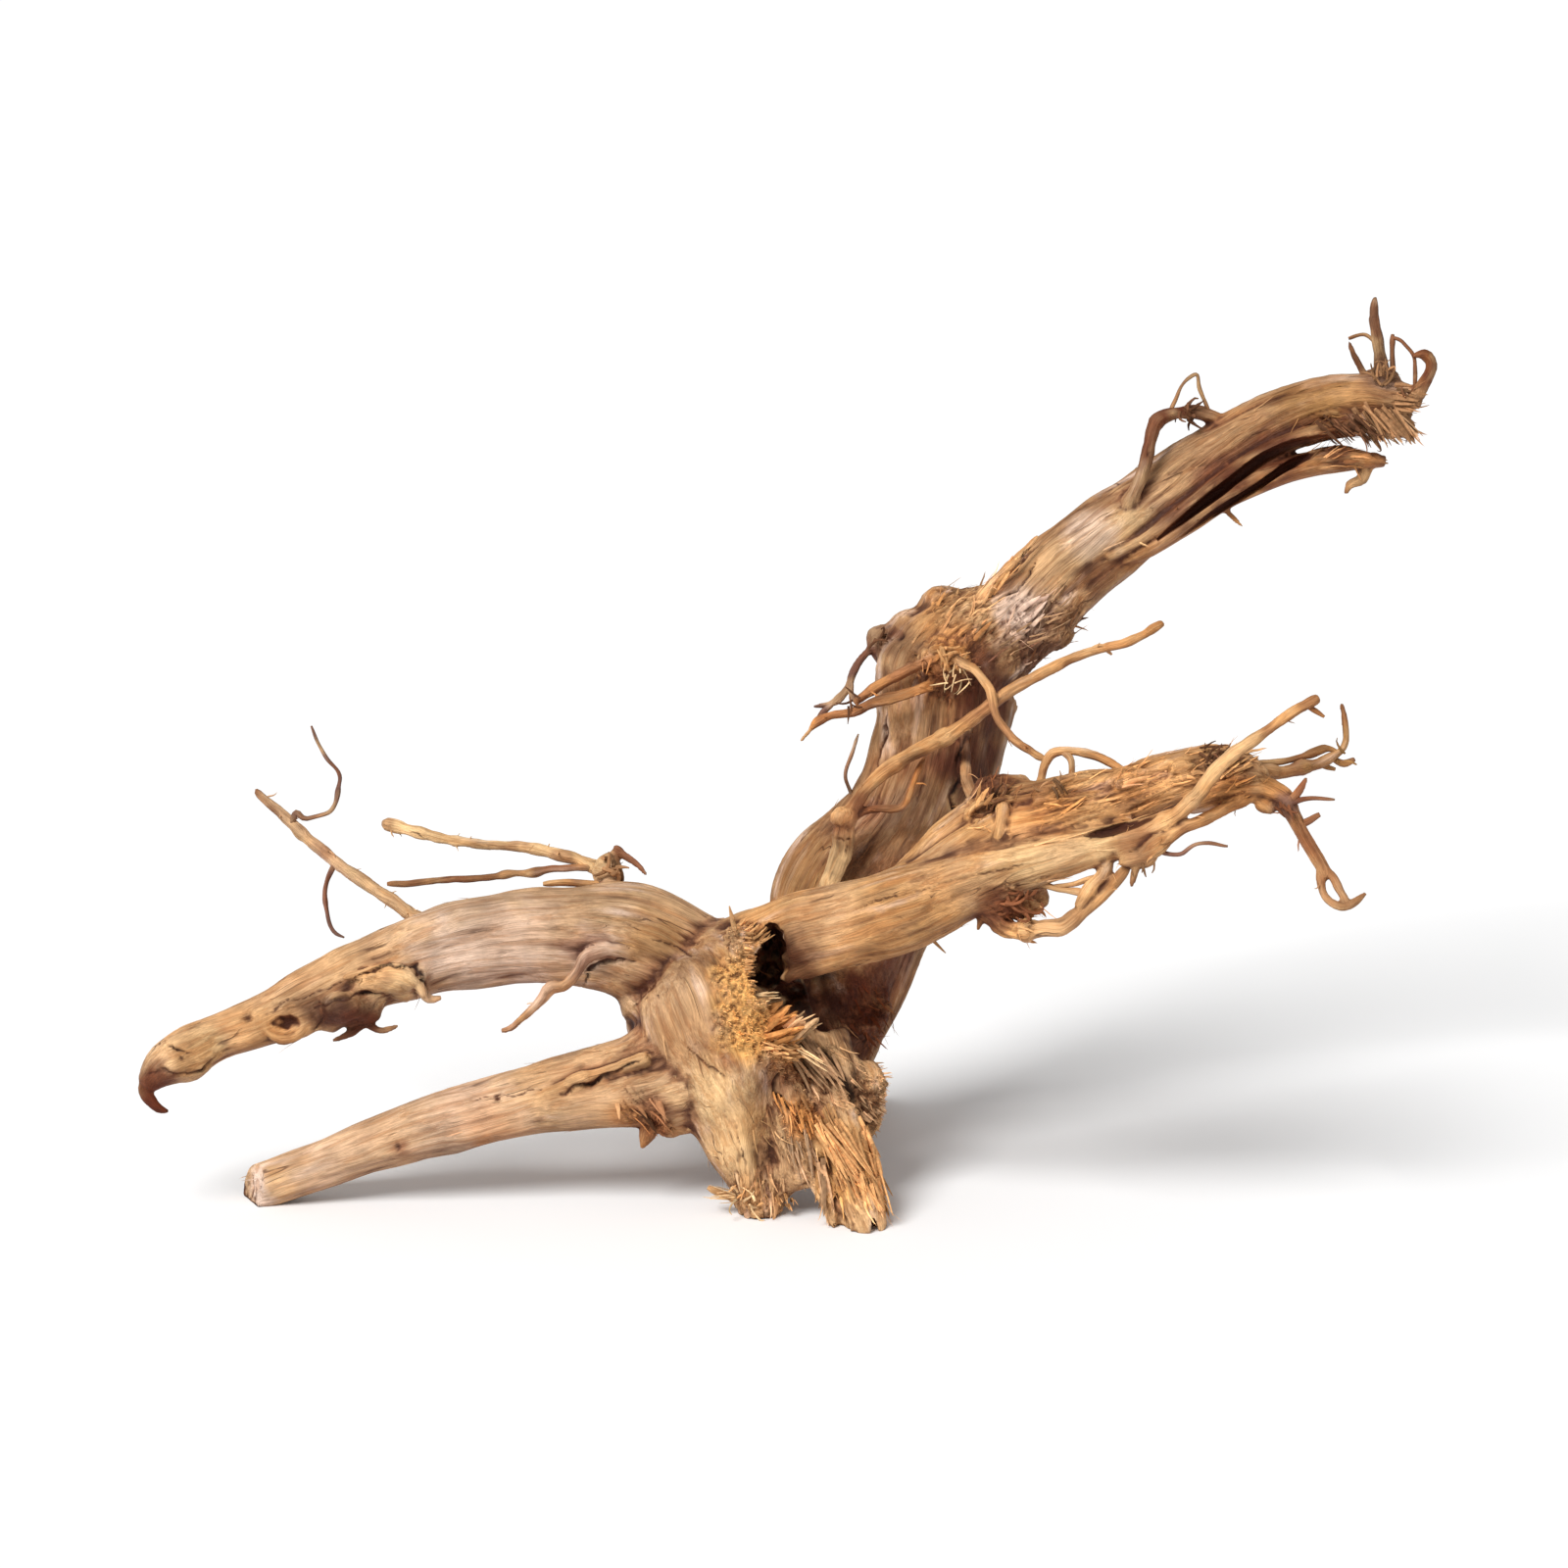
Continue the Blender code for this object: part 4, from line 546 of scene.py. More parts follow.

# Patches of other colours on the limbs: (across, up, back, reach, colour, strength). Many are the wood's own
# colours. The dark, deep and black ones in the mouth, under the branch, the trunk's shell, the log and the
# arm's lobes, and on the trunk's right side, are painted shade. The pale ones are partly the wood's own paler
# weathered colour and partly painted sheen, and the straw ones on the arm's tip are painted highlights.
PATCHES = [
    (-107, -59, -28, 26, "pale", 0.65), (-90, -52, -26, 20, "pale", 0.5), (-100, -42, -12, 18, "olive", 0.3),
    (-84, -66, -24, 16, "pale", 0.5), (-110, -112, -16, 26, "pale", 0.35),
    (-150, -126, -14, 24, "pale", 0.3), (2, -26, 12, 15, "umber", 0.6), (-70, -40, -10, 20, "beige", 0.5),
    (-76, -53, -28, 15, "beige", 0.5), (-152, -66, -34, 15, "light_gold", 0.8),
    (-130, -70, -34, 9, "straw", 0.7), (-147, -79, -34, 10, "deep", 0.75), (-140, -82, -32, 7, "deep", 0.7),
    (-157, -80, -36, 8, "deep", 0.9), (-170, -82, -36, 7, "orange", 0.7), (-146, -86, -30, 8, "umber", 0.8),
    (-165, -74, -34, 9, "brown", 0.5), (-182, -84, -34, 16, "gold", 0.6), (-196, -88, -34, 7, "straw", 0.9),
    (-203, -97, -35, 5, "umber", 0.8), (-205, -88, -34, 13, "light_gold", 0.6),
    (-200, -94, -34, 9, "olive", 0.6), (-215, -103, -30, 10, "umber", 1.0),
    (-214, -110, -30, 8, "deep", 1.0), (-64, -60, -26, 12, "pale", 0.6), (-76, -70, -24, 9, "gold", 0.6),
    (-66, -62, -28, 7, "red_brown", 0.7), (-140, -120, -16, 28, "beige", 0.6),
    (-66, -104, -24, 22, "tan", 0.4), (-46, -112, -18, 12, "red_brown", 0.8),
    (-55, -112, -18, 8, "orange", 0.6), (-181, -138, -8, 9, "pale", 0.8),
    (-100, -116, -14, 12, "orange", 0.4), (-42, -66, -27, 16, "beige", 0.6),
    (-44, -52, -22, 12, "olive", 0.7), (-28, -60, -26, 10, "brown", 0.6), (-33, -86, -29, 14, "brown", 0.5),
    (-20, -92, -30, 10, "red_brown", 0.5), (-24, -106, -28, 15, "straw", 0.8),
    (-15, -124, -24, 15, "straw", 0.7), (-8, -116, -28, 8, "olive", 0.6), (-2, -100, -26, 9, "deep", 0.6),
    (-15, -68, -30, 13, "honey", 0.95), (-13, -84, -30, 12, "honey", 0.95),
    (-1, -88, -22, 10, "orange", 0.9), (2, -66, -8, 13, "black", 1.0), (10, -76, 2, 14, "black", 0.9),
    (26, -76, 8, 22, "deep", 1.0), (32, -88, 6, 16, "deep", 0.9), (10, -58, 6, 14, "black", 1.0),
    (20, -92, 4, 12, "dark", 1.0), (4, -66, -28, 9, "dark", 0.9), (10, -72, -6, 11, "black", 1.0),
    (18, -76, -2, 12, "dark", 0.9), (44, -58, 14, 14, "deep", 0.8), (40, -66, 14, 18, "deep", 0.85),
    (19, -102, -16, 12, "beige", 0.5), (26, -110, -10, 10, "umber", 0.8), (13, -96, -14, 7, "deep", 0.8),
    (22, -104, -12, 6, "dark", 0.6), (4, -100, -14, 8, "red_brown", 0.7), (8, -114, -24, 9, "orange", 0.9),
    (22, -130, -28, 16, "honey", 0.95), (24, -134, -28, 12, "orange", 0.3), (30, -124, -16, 9, "deep", 0.8),
    (29, -146, -26, 9, "light_gold", 0.6), (4, -130, -22, 11, "tan", 0.6), (6, -34, 12, 24, "olive", 0.8),
    (20, -20, 10, 12, "umber", 0.7), (40, -2, 8, 7, "pale", 0.8), (42, -11, 8, 7, "pale", 0.8),
    (46, -20, 8, 7, "pale", 0.6), (32, -6, 9, 7, "umber", 0.6), (53, -8, 9, 8, "umber", 0.7),
    (34, -30, 12, 12, "umber", 0.7), (40, 22, 10, 14, "tan", 0.7), (50, 8, 9, 9, "red_brown", 0.6),
    (66, 6, 18, 15, "dark", 0.85), (70, 28, 20, 12, "dark", 0.7), (30, 8, 16, 9, "brown", 0.8),
    (62, -20, 14, 12, "dark", 0.9), (58, 34, 12, 10, "deep", 0.7), (48, 58, 16, 14, "gold", 0.8),
    (38, 50, 20, 9, "umber", 0.6), (50, 66, 22, 8, "orange", 0.5), (60, 48, 12, 10, "orange", 0.7),
    (66, 40, 16, 8, "deep", 0.8), (74, 60, 18, 12, "light_gold", 0.7), (82, 58, 22, 14, "pale", 0.7),
    (92, 74, 18, 18, "light_gold", 0.8), (105, 83, 18, 12, "straw", 0.7), (96, 52, 22, 12, "brown", 0.7),
    (84, 44, 24, 9, "deep", 0.7), (124, 93, 18, 15, "beige", 0.7), (143, 112, 18, 20, "tan", 0.7),
    (118, 88, 20, 10, "straw", 0.6), (180, 131, 12, 22, "olive", 0.9), (196, 134, 8, 10, "gold", 0.7),
    (150, 112, 14, 10, "olive", 0.5), (172, 119, 14, 10, "brown", 0.8), (150, 103, 24, 12, "deep", 0.9),
    (168, 111, 22, 12, "deep", 0.9), (134, 92, 24, 8, "deep", 0.7), (188, 117, 16, 10, "deep", 0.8),
    (208, 119, 14, 12, "umber", 0.7), (214, 128, 12, 7, "brown", 0.8), (112, 78, 24, 8, "brown", 0.3),
    (204, 138, 16, 9, "umber", 0.8), (60, 10, 14, 10, "deep", 0.7), (30, 10, 12, 8, "grey", 0.6),
    (17, -43, -44, 17, "beige", 0.7), (8, -52, -34, 12, "tan", 0.6), (52, -28, -62, 12, "beige", 0.7),
    (52, -38, -62, 14, "gold", 0.6), (30, -50, -50, 12, "gold", 0.5), (80, -28, -74, 16, "straw", 0.7),
    (104, -23, -80, 16, "straw", 0.8), (120, -20, -78, 8, "red_brown", 0.6), (66, -38, -64, 10, "tan", 0.6),
    (6, -62, -30, 8, "brown", 0.7), (90, -11, -66, 16, "orange", 0.8), (112, -16, -62, 10, "dark", 1.0),
    (116, 2, -72, 12, "orange", 0.6), (130, 4, -76, 12, "gold", 0.6), (146, 7, -74, 8, "umber", 0.6),
    (155, 3, -72, 9, "umber", 0.7), (71, -4, -50, 11, "deep", 0.9), (84, -2, -60, 9, "umber", 0.6),
    (150, -4, -76, 10, "orange", 0.8), (166, -3, -78, 7, "orange", 0.7), (170, -9, -78, 6, "purple", 0.9),
    (176, -18, -80, 8, "red_brown", 0.6), (72, -42, -60, 10, "deep", 0.9), (80, -37, -60, 10, "deep", 0.9),
    (92, -50, -70, 9, "light_gold", 0.7), (101, -44, -71, 7, "brown", 0.6),
    (20, -14, 4, 6, "red_brown", 0.8), (28, -8, 2, 7, "red_brown", 0.8), (15, -34, 8, 8, "straw", 0.7),
    (66, 4, 16, 15, "dark", 0.6), (71, 24, 20, 12, "dark", 0.6), (88, -25, -76, 15, "straw", 0.6),
    (5, -57, -34, 11, "umber", 0.6), (0, -58, -30, 8, "dark", 0.9), (-155, -79, -37, 11, "dark", 0.8),
    (-143, -82, -33, 9, "deep", 0.8), (-102, -120.4, -12, 5, "orange", 0.8),
    (-131, -123, -14, 4, "red_brown", 0.7), (-98, -52, -22, 14, "olive", 0.45),
    (-213, -101, -31, 8, "deep", 0.7), (17.5, -25, 6, 8, "straw", 0.8), (96, -27, -78, 10, "beige", 0.4),
    (-4, -56, -12, 12, "black", 1.0), (104, 86, 20, 11, "pale", 0.5), (80, 59, 18, 9, "pale", 0.5),
    (66, 30, 16, 12, "deep", 0.5), (44, -40, -58, 30, "olive", 0.3),
]

# Blotches on all the wood: colour, width in millimetres, seed of the noise, its values from none to full,
# and strength.
BLOTCHES = (
    ("grey", 28, 13, (0.2, 0.8), 0.3), ("orange", 20, 14, (0.1, 0.7), 0.4),
    ("umber", 17, 15, (0.15, 0.8), 0.42), ("light_gold", 22, 34, (0.1, 0.7), 0.4),
)
# Patches with a smaller reach than this have a firmer edge, and patches of these colours a soft shine.
SMALL_PATCH = 13
SATIN_COLOURS = ("pale", "grey", "beige")
# How many times the skin is evened to find its narrow and its wide hollows, which are darkened as painted
# shade, and its ridges, which are lightened as painted highlights.
HOLLOW_PASSES = (3, 24)
# How far from a crack, in millimetres, its depth is worked out.
CRACK_MARGIN = 16
# How many points are measured against a strand at once.
AT_ONCE = 40000
# The parts of the grain, and the places in the two nearest limbs that it is worked out from.
GRAIN_PARTS = ("Streak", "Fibre", "Split")
GRAIN_PLACES = ("grain_a", "grain_b")

# Crumbs: how many shapes, how wide in millimetres, and how much longer than wide.
CRUMB_COUNT = 8
CRUMB_WIDTHS = (0.35, 0.7)
CRUMB_STRETCH = 1.7
# A broken stick: the angles of its corners, and where its rings lie along it and how wide each is.
STICK_CORNERS = (0.4, 1.5, 2.7, 3.9, 5.2)
STICK_RINGS = ((0.0, 1.0), (0.35, 1.0), (0.62, 0.9), (0.82, 0.65), (0.94, 0.38))
# Sticks that point down end this far above the ground.
GROUND_GAP = 0.4 * MM
# The step along a curled rootlet, in millimetres.
CURL_STEP = 1.3

# Finishes of loose wood: how bright beside the wood it came from, and the width of its blotches in mm.
LOOSE_FINISHES = {
    "torn_wood": (1.3, 1.2), "stick_wood": (1.15, 1.6), "fibre_wood": (1.35, 2.0), "strand_wood": (1.05, 2.5),
}
# Strewn wood. Each piece has a number of shapes, ranges of their length and width in millimetres, flatness,
# curl, rows and sides, a finish, and inputs of the strewing tree: the attributes that say where it lies and
# which way, how many lie on a square metre, their sizes, and how they stand on the skin.
USUAL_SIZES = {"Smallest": 0.5, "Largest": 1.2}
CRUMBS = dict(
    Where="torn_off_ground", Way="pull", Density=1700000.0, Lift=0.3, Spread=0.8, Sink=0.25 * MM, Seed=4)
SLIVERS = {
    "torn_splinters": ((6, (0.8, 1.8), (0.25, 0.45), 0.5, 0.9, 4, 3), "torn_wood", dict(
        Where="torn_off_ground", Way="pull", Density=1500000.0, Lift=0.4, Spread=0.9, Sink=0.2 * MM, Seed=1)),
    "loose_shreds": ((8, (4, 10), (0.5, 1.1), 0.4, 0.5, 7, 4), "fibre_wood", dict(
        Where="shredded", Way="run", Density=50000.0, Lift=0.02, Spread=0.3, Sink=0.12 * MM, Seed=5)),
    "wood_flakes": ((8, (4, 9), (1.0, 2.2), 0.22, 0.4, 6, 6), "strand_wood", dict(
        Where="shredded", Way="run", Density=22000.0, Lift=0.03, Spread=0.14, Sink=0.1 * MM, Seed=7)),
    "curly_fibres": ((8, (5, 10), (0.22, 0.4), 1.0, 2.0, 9, 3), "fibre_wood", dict(
        Where="fuzz", Way="way", Density=16000.0, Largest=1.1, Lift=0.3, Spread=0.8, Sink=0.3 * MM, Seed=2)),
    "wood_strands": ((8, (4, 9), (0.4, 0.8), 0.4, 0.15, 8, 4), "strand_wood", dict(
        Where="stringy", Way="way", Density=5500.0, Smallest=0.6, Lift=-0.01, Spread=0.03, Sink=0.2 * MM,
        Seed=3)),
    "root_spurs": ((6, (1.5, 5), (0.5, 1.0), 0.9, 1.2, 6, 5), "strand_wood", dict(
        Where="rooty", Way="way", Density=5500.0, Largest=1.1, Lift=0.9, Spread=0.7, Sink=0.2 * MM, Seed=6)),
}


# Places: from the drawing to the object's own frame, and back.
def seen(across, up, back):
    """A drawn place, in millimetres, as a place in metres before the origin is taken off."""
    spread = 1 + back / EYE_DISTANCE
    across, up = across * spread, up * spread
    sine, cosine = math.sin(EYE_TILT), math.cos(EYE_TILT)
    return Vector((across, up * sine + back * cosine, up * cosine - back * sine)) * MM


ORIGIN = seen(*FOOT_POINT)


def placed(across, up, back):
    """A drawn place in the object's own frame."""
    return seen(across, up, back) - ORIGIN


def drawn(places):
    """The inverse of placed(), for an array of places: across, up and back of each, in millimetres."""
    q = (places + np.array(ORIGIN)) / MM
    back = q @ np.array(EYE_LINE)
    spread = 1 + back / EYE_DISTANCE
    return np.column_stack((q[:, 0] / spread, (q @ np.array(EYE_UP)) / spread, back))


def towards(across, up, back):
    """A drawn direction in the object's own frame, with its length kept."""
    return Vector((across, 0, 0)) + EYE_UP * up + EYE_LINE * back


def far_from(points, spot):
    """How far each point lies from a drawn place, in metres."""
    return np.linalg.norm(points - np.array(placed(*spot)), axis=1)


# Noise and easing on arrays.
DRAW = np.random.default_rng(SEED)
SHUFFLE = DRAW.permutation(256)
SLOPES = DRAW.normal(size=(256, 3))
SLOPES /= np.linalg.norm(SLOPES, axis=1)[:, None]


def ripple(places, seed=0):
    """Smooth noise between about -1 and 1 at each place, with features about one unit wide."""
    cell = np.floor(places).astype(np.int64)
    inside = places - cell
    ease = inside**3 * (inside * (inside * 6 - 15) + 10)
    total = np.zeros(len(places))
    for corner in range(8):
        step = np.array([corner >> axis & 1 for axis in range(3)])
        x, y, z = (cell + step).T
        pick = SHUFFLE[(SHUFFLE[(SHUFFLE[(x + 37 * seed) & 255] + y) & 255] + z) & 255]
        reach = np.where(step, ease, 1 - ease).prod(axis=1)
        total += reach * (SLOPES[pick] * (inside - step)).sum(axis=1)
    return total * 1.5


def long_ripple(across, along, seed):
    """Noise that is drawn out along the wood: two numbers across it and one along it for each point."""
    return ripple(np.column_stack((across, along)), seed)


def ripples(places, seed, step=1, count=3):
    """Several unlike noises side by side, one for each direction."""
    return np.column_stack([ripple(places, seed + step * axis) for axis in range(count)])


def eased(value, low, high):
    """0 below low, 1 above high and a smooth slope between."""
    t = np.clip((value - low) / (high - low), 0, 1)
    return t * t * (3 - 2 * t)


# Lines of wood.
def smooth_route(points, step):
    """Places and radii, in metres, about every step millimetres of a smooth curve through drawn points."""
    knots = [(placed(*p[:3]), p[3] / 2 * MM) for p in points]
    knots = [knots[0], *knots, knots[-1]]
    places, radii = [], []
    for a, b, c, d in zip(knots, knots[1:], knots[2:], knots[3:]):
        count = max(1, round((c[0] - b[0]).length / (step * MM)))
        for k in range(count):
            t = k / count
            weights = (
                (-t + 2 * t**2 - t**3) / 2,
                (2 - 5 * t**2 + 3 * t**3) / 2,
                (t + 4 * t**2 - 3 * t**3) / 2,
                (t**3 - t**2) / 2,
            )
            places.append(sum((w * q[0] for w, q in zip(weights, (a, b, c, d))), Vector()))
            radii.append(sum(w * q[1] for w, q in zip(weights, (a, b, c, d))))
    places.append(knots[-1][0])
    radii.append(knots[-1][1])
    return np.array(places), np.array(radii)


def unit_long(ways):
    """The directions, each made one metre long."""
    return ways / np.linalg.norm(ways, axis=1)[:, None]


def plain_line(place, radius, facing, thickness=1.0):
    """A line of wood: its places and radii, and the directions along it, to its side and into its depth."""
    ends = np.concatenate((place[:1], place, place[-1:]))
    along = unit_long(ends[2:] - ends[:-2])
    side = unit_long(np.cross(along, np.array(facing)))
    deep = np.cross(side, along)
    return {
        "place": place, "radius": radius, "along": along, "side": side, "deep": deep, "thickness": thickness,
    }


def strand(name, points, step, thickness=1.0, facing=EYE_LINE, wander=0.0):
    """The line of one limb or rootlet, with its name, its own number and the length of wood up to each place.

    wander, in metres, bends a rootlet a little to and fro and gives it knuckles.
    """
    place, radius = smooth_route(points, step)
    number = sum(map(ord, name))
    if wander:
        rows = np.arange(len(place))
        to_end = np.minimum(rows, rows[::-1]) * step
        free = eased(to_end, 0, 8)[:, None]
        drift = ripples(place * 60 + number, number)
        kink = ripples(place * 150 + number, number + 5)
        knuckle = eased(ripple(place * 120 + number, number + 3), 0.2, 0.7)
        radius = radius * (0.82 + 0.16 * ripple(place * 200 + number, number + 4) + 0.4 * knuckle)
        radius = radius * (0.5 + 0.5 * eased(to_end, -1.5, 4))
        place = place + (drift + 0.45 * kink) * free * wander
    steps = np.linalg.norm(np.diff(place, axis=0), axis=1)
    arc = np.concatenate(([0.0], np.cumsum(steps)))
    return plain_line(place, radius, facing, thickness) | {"name": name, "number": number, "arc": arc}


# Closed shapes, each as (points, faces).
def ring_walls(rows, sides):
    """Four-cornered faces between rings of points, one ring after another."""
    pairs = [(k, (k + 1) % sides) for k in range(sides)]
    starts = range(0, (rows - 1) * sides, sides)
    return [(a + k, a + n, a + sides + n, a + sides + k) for a in starts for k, n in pairs]


def ring_ends(rows, sides, foot, tip):
    """Three-cornered faces that close a tube, from its first ring to its foot and its last to its tip."""
    faces, last = [], (rows - 1) * sides
    for k in range(sides):
        n = (k + 1) % sides
        faces += [(n, k, foot), (last + k, last + n, tip)]
    return faces


def tube(line, sides, flute=0.0, phase=0.0, stretch=3.0, gain=0.0):
    """A closed tube round a line of wood. Flutes are ribs and hollows that wind slowly round it."""
    turn = np.arange(sides) * 2 * np.pi / sides
    row = np.arange(len(line["place"]))[:, None] / stretch
    wind = turn + 0.05 * row + phase
    swell = 1 + flute * (np.sin(3 * wind) + 0.7 * np.sin(5 * wind + 1.3 + 0.11 * row))
    reach = (line["radius"][:, None] + gain) * swell
    across = (np.cos(turn) * reach)[..., None] * line["side"][:, None]
    depth = (np.sin(turn) * reach * line["thickness"])[..., None] * line["deep"][:, None]
    rings = (line["place"][:, None] + across + depth).reshape(-1, 3)
    points = np.concatenate((rings, line["place"][:1], line["place"][-1:]))
    rows = len(line["place"])
    return points, ring_walls(rows, sides) + ring_ends(rows, sides, len(rings), len(rings) + 1)


def ball(divisions, radius, moved):
    """A ball round the origin, in small triangles, with each point where moved() puts it."""
    bm = bmesh.new()
    bmesh.ops.create_icosphere(bm, subdivisions=divisions, radius=radius)
    points = np.array([moved(v.co)[:] for v in bm.verts])
    faces = [tuple(v.index for v in f.verts) for f in bm.faces]
    bm.free()
    return points, faces


def egg(across, up, back, width, height, depth, rough):
    """An egg of the seen size round a drawn place, dented by noise."""
    centre = placed(across, up, back)

    def moved(place):
        """Where a point of the ball lies on the egg."""
        way = place.normalized()
        reach = 1 + rough * noise.noise(way * 2.3 + centre * 90)
        way = Vector((way.x * width, 0, 0)) + EYE_LINE * way.y * depth + EYE_UP * way.z * height
        return centre + way * reach * MM / 2

    return ball(EGG_DIVISIONS, 1.0, moved)


def block(low, high):
    """A box between two corners, in metres."""
    points = [[(low, high)[k >> axis & 1][axis] for axis in range(3)] for k in range(8)]
    faces = [(0, 1, 3, 2), (4, 6, 7, 5), (0, 4, 5, 1), (2, 3, 7, 6), (0, 2, 6, 4), (1, 5, 7, 3)]
    return np.array(points), faces


# Objects and their meshes.
def new_object(name, data):
    """A new object in the scene."""
    made = bpy.data.objects.new(name, data)
    bpy.context.scene.collection.objects.link(made)
    return made


def mesh_object(name, shapes):
    """A new object from a list of shapes, with every face turned outwards."""
    mesh = bpy.data.meshes.new(name)
    points, faces, start = [], [], 0
    for shape_points, shape_faces in shapes:
        points.append(shape_points)
        faces += [tuple(start + k for k in face) for face in shape_faces]
        start += len(shape_points)
    mesh.from_pydata(np.concatenate(points).tolist(), [], faces)
    bm = bmesh.new()
    bm.from_mesh(mesh)
    bmesh.ops.recalc_face_normals(bm, faces=bm.faces)
    bm.to_mesh(mesh)
    bm.free()
    return new_object(name, mesh)


def settle(obj):
    """Applies the object's modifiers."""
    bpy.context.view_layer.update()
    graph = bpy.context.evaluated_depsgraph_get()
    mesh = bpy.data.meshes.new_from_object(obj.evaluated_get(graph))
    obj.modifiers.clear()
    obj.data = mesh


def fuse(obj, voxel, passes):
    """Runs everything in the object together into one skin and rounds it."""
    remesh = obj.modifiers.new("fuse", "REMESH")
    remesh.mode = "VOXEL"
    remesh.voxel_size = voxel
    soften = obj.modifiers.new("soften", "SMOOTH")
    soften.factor = 0.5
    soften.iterations = passes
    settle(obj)


def join(body, other):
    """Adds the other object's mesh to the body and removes the other."""
    bm = bmesh.new()
    bm.from_mesh(body.data)
    bm.from_mesh(other.data)
    bm.to_mesh(body.data)
    bm.free()
    bpy.data.objects.remove(other)


def carve(body, cutters):
    """Cuts the cutters out of the body and removes them."""
    group = bpy.data.collections.new("hollows")
    for cutter in cutters:
        group.objects.link(cutter)
    cut = body.modifiers.new("cut", "BOOLEAN")
    cut.operation = "DIFFERENCE"
    cut.operand_type = "COLLECTION"
    cut.collection = group
    cut.solver = "MANIFOLD"
    settle(body)
    for cutter in cutters:
        bpy.data.objects.remove(cutter)
    bpy.data.collections.remove(group)


def arrays_of(obj):
    """The points of the object and their normals, as arrays."""
    mesh = obj.data
    points, normals = np.empty(len(mesh.vertices) * 3), np.empty(len(mesh.vertices) * 3)
    mesh.vertices.foreach_get("co", points)
    mesh.vertex_normals.foreach_get("vector", normals)
    return points.reshape(-1, 3), normals.reshape(-1, 3)


def put_points(obj, points):
    """Moves the object's points to the places of an array."""
    obj.data.vertices.foreach_set("co", np.ascontiguousarray(points, np.float32).ravel())
    obj.data.update()


def keep_in_box(obj):
    """Pushes points that stand out of the box of the CAD solid back onto it."""
    low, high = np.array(CAD_BOX)
    put_points(obj, np.clip(arrays_of(obj)[0], low, high))


def smooth_faces(obj):
    """Shades the object's faces smoothly."""
    obj.data.polygons.foreach_set("use_smooth", [True] * len(obj.data.polygons))


def store(obj, name, kind, values, domain="POINT"):
    """Keeps an array on the mesh as a named attribute."""
    made = obj.data.attributes.new(name, kind, domain)
    if kind == "FLOAT_COLOR":
        values = np.column_stack((values, np.ones(len(values))))
    slot = {"FLOAT": "value", "FLOAT_VECTOR": "vector", "FLOAT_COLOR": "color"}[kind]
    made.data.foreach_set(slot, np.ascontiguousarray(values, np.float32).ravel())


# Which strands a point of the skin belongs to.
def in_reach(points, line, reach):
    """Which points lie in the strand's own box, widened by its radius and the reach."""
    wide = line["radius"].max() * max(1, line["thickness"]) + reach
    low, high = line["place"].min(axis=0) - wide, line["place"].max(axis=0) + wide
    return ((points > low) & (points < high)).all(axis=1)


def straightened(points, line):
    """Each point in the strand's straight wood: (across, deep, along), its gap outside it, and its row."""
    middle = line["place"]
    row = np.empty(len(points), np.int64)
    for start in range(0, len(points), AT_ONCE):
        part = slice(start, start + AT_ONCE)
        row[part] = ((middle**2).sum(axis=1) - 2 * points[part] @ middle.T).argmin(axis=1)
    away = points - middle[row]
    across = (away * line["side"][row]).sum(axis=1)
    deep = (away * line["deep"][row]).sum(axis=1) / line["thickness"]
    along = (away * line["along"][row]).sum(axis=1)
    gap = np.sqrt(across**2 + deep**2 + along**2) - line["radius"][row]
    return np.column_stack((across, deep, along + line["arc"][row])), gap, row


def gaps_to(points, lines, reach=14 * MM):
    """How far each point lies outside each strand, in metres: one row for each strand."""
    gaps = np.full((len(lines), len(points)), 1.0, np.float32)
    for number, line in enumerate(lines):
        near = np.flatnonzero(in_reach(points, line, reach))
        if len(near):
            gaps[number, near] = straightened(points[near], line)[1]
    return gaps


def nearest_two(gaps, softness):
    """The two strands nearest each point and the share of each."""
    order = np.argsort(gaps, axis=0)[:2]
    near = np.take_along_axis(gaps, order, axis=0)
    share = np.exp(-np.clip(near, 0, None) / softness) + 1e-9
    return order, share / share.sum(axis=0)


def blend_over(points, lines, gaps, softness, rule, width=1):
    """rule(coords, radius, row, line) of the two nearest strands of each point, blended by their shares."""
    order, share = nearest_two(gaps, softness)
    total = np.zeros((len(points), width))
    for rank in range(2):
        for number in np.unique(order[rank]):
            chosen = np.flatnonzero((order[rank] == number) & (share[rank] > 0.01))
            if len(chosen):
                line = lines[number]
                coords, gap, row = straightened(points[chosen], line)
                found = rule(coords, line["radius"][row], row, line).reshape(len(chosen), width)
                total[chosen] += share[rank, chosen][:, None] * found
    return total


# The rules for blend_over().
def rib_height(coords, radius, row, line):
    """The ribs of one strand, in metres: rounded ridges with narrow hollows, finer ridges and lumps."""
    seed, size = line["number"], radius / MM
    turn = coords[:, :2] / radius[:, None]
    along = coords[:, 2] / MM
    bend = long_ripple(turn * 0.9, along / 32, seed)[:, None]
    wide = long_ripple(turn * 1.5 + bend * 0.4, along / 60, seed + 1)
    middle = long_ripple(coords[:, :2] / (3.4 * MM) + bend * 0.6, along / 38, seed + 2)
    fine = long_ripple(coords[:, :2] / (1.6 * MM) + bend, along / 20, seed + 3)
    lump = long_ripple(coords[:, :2] / (11 * MM), along / 16, seed + 4)
    big = np.clip(size / 14, 0.1, 1)
    strength = RIBBED.get(line["name"], RIBS_ELSEWHERE)
    height = 1.7 * strength * big * ridged(wide)
    height += 0.55 * strength * np.clip(size / 8, 0.2, 1) * ridged(middle)
    height += 0.16 * fine * np.clip(size / 4, 0.6, 1)
    height += 1.0 * big * lump
    return height * MM


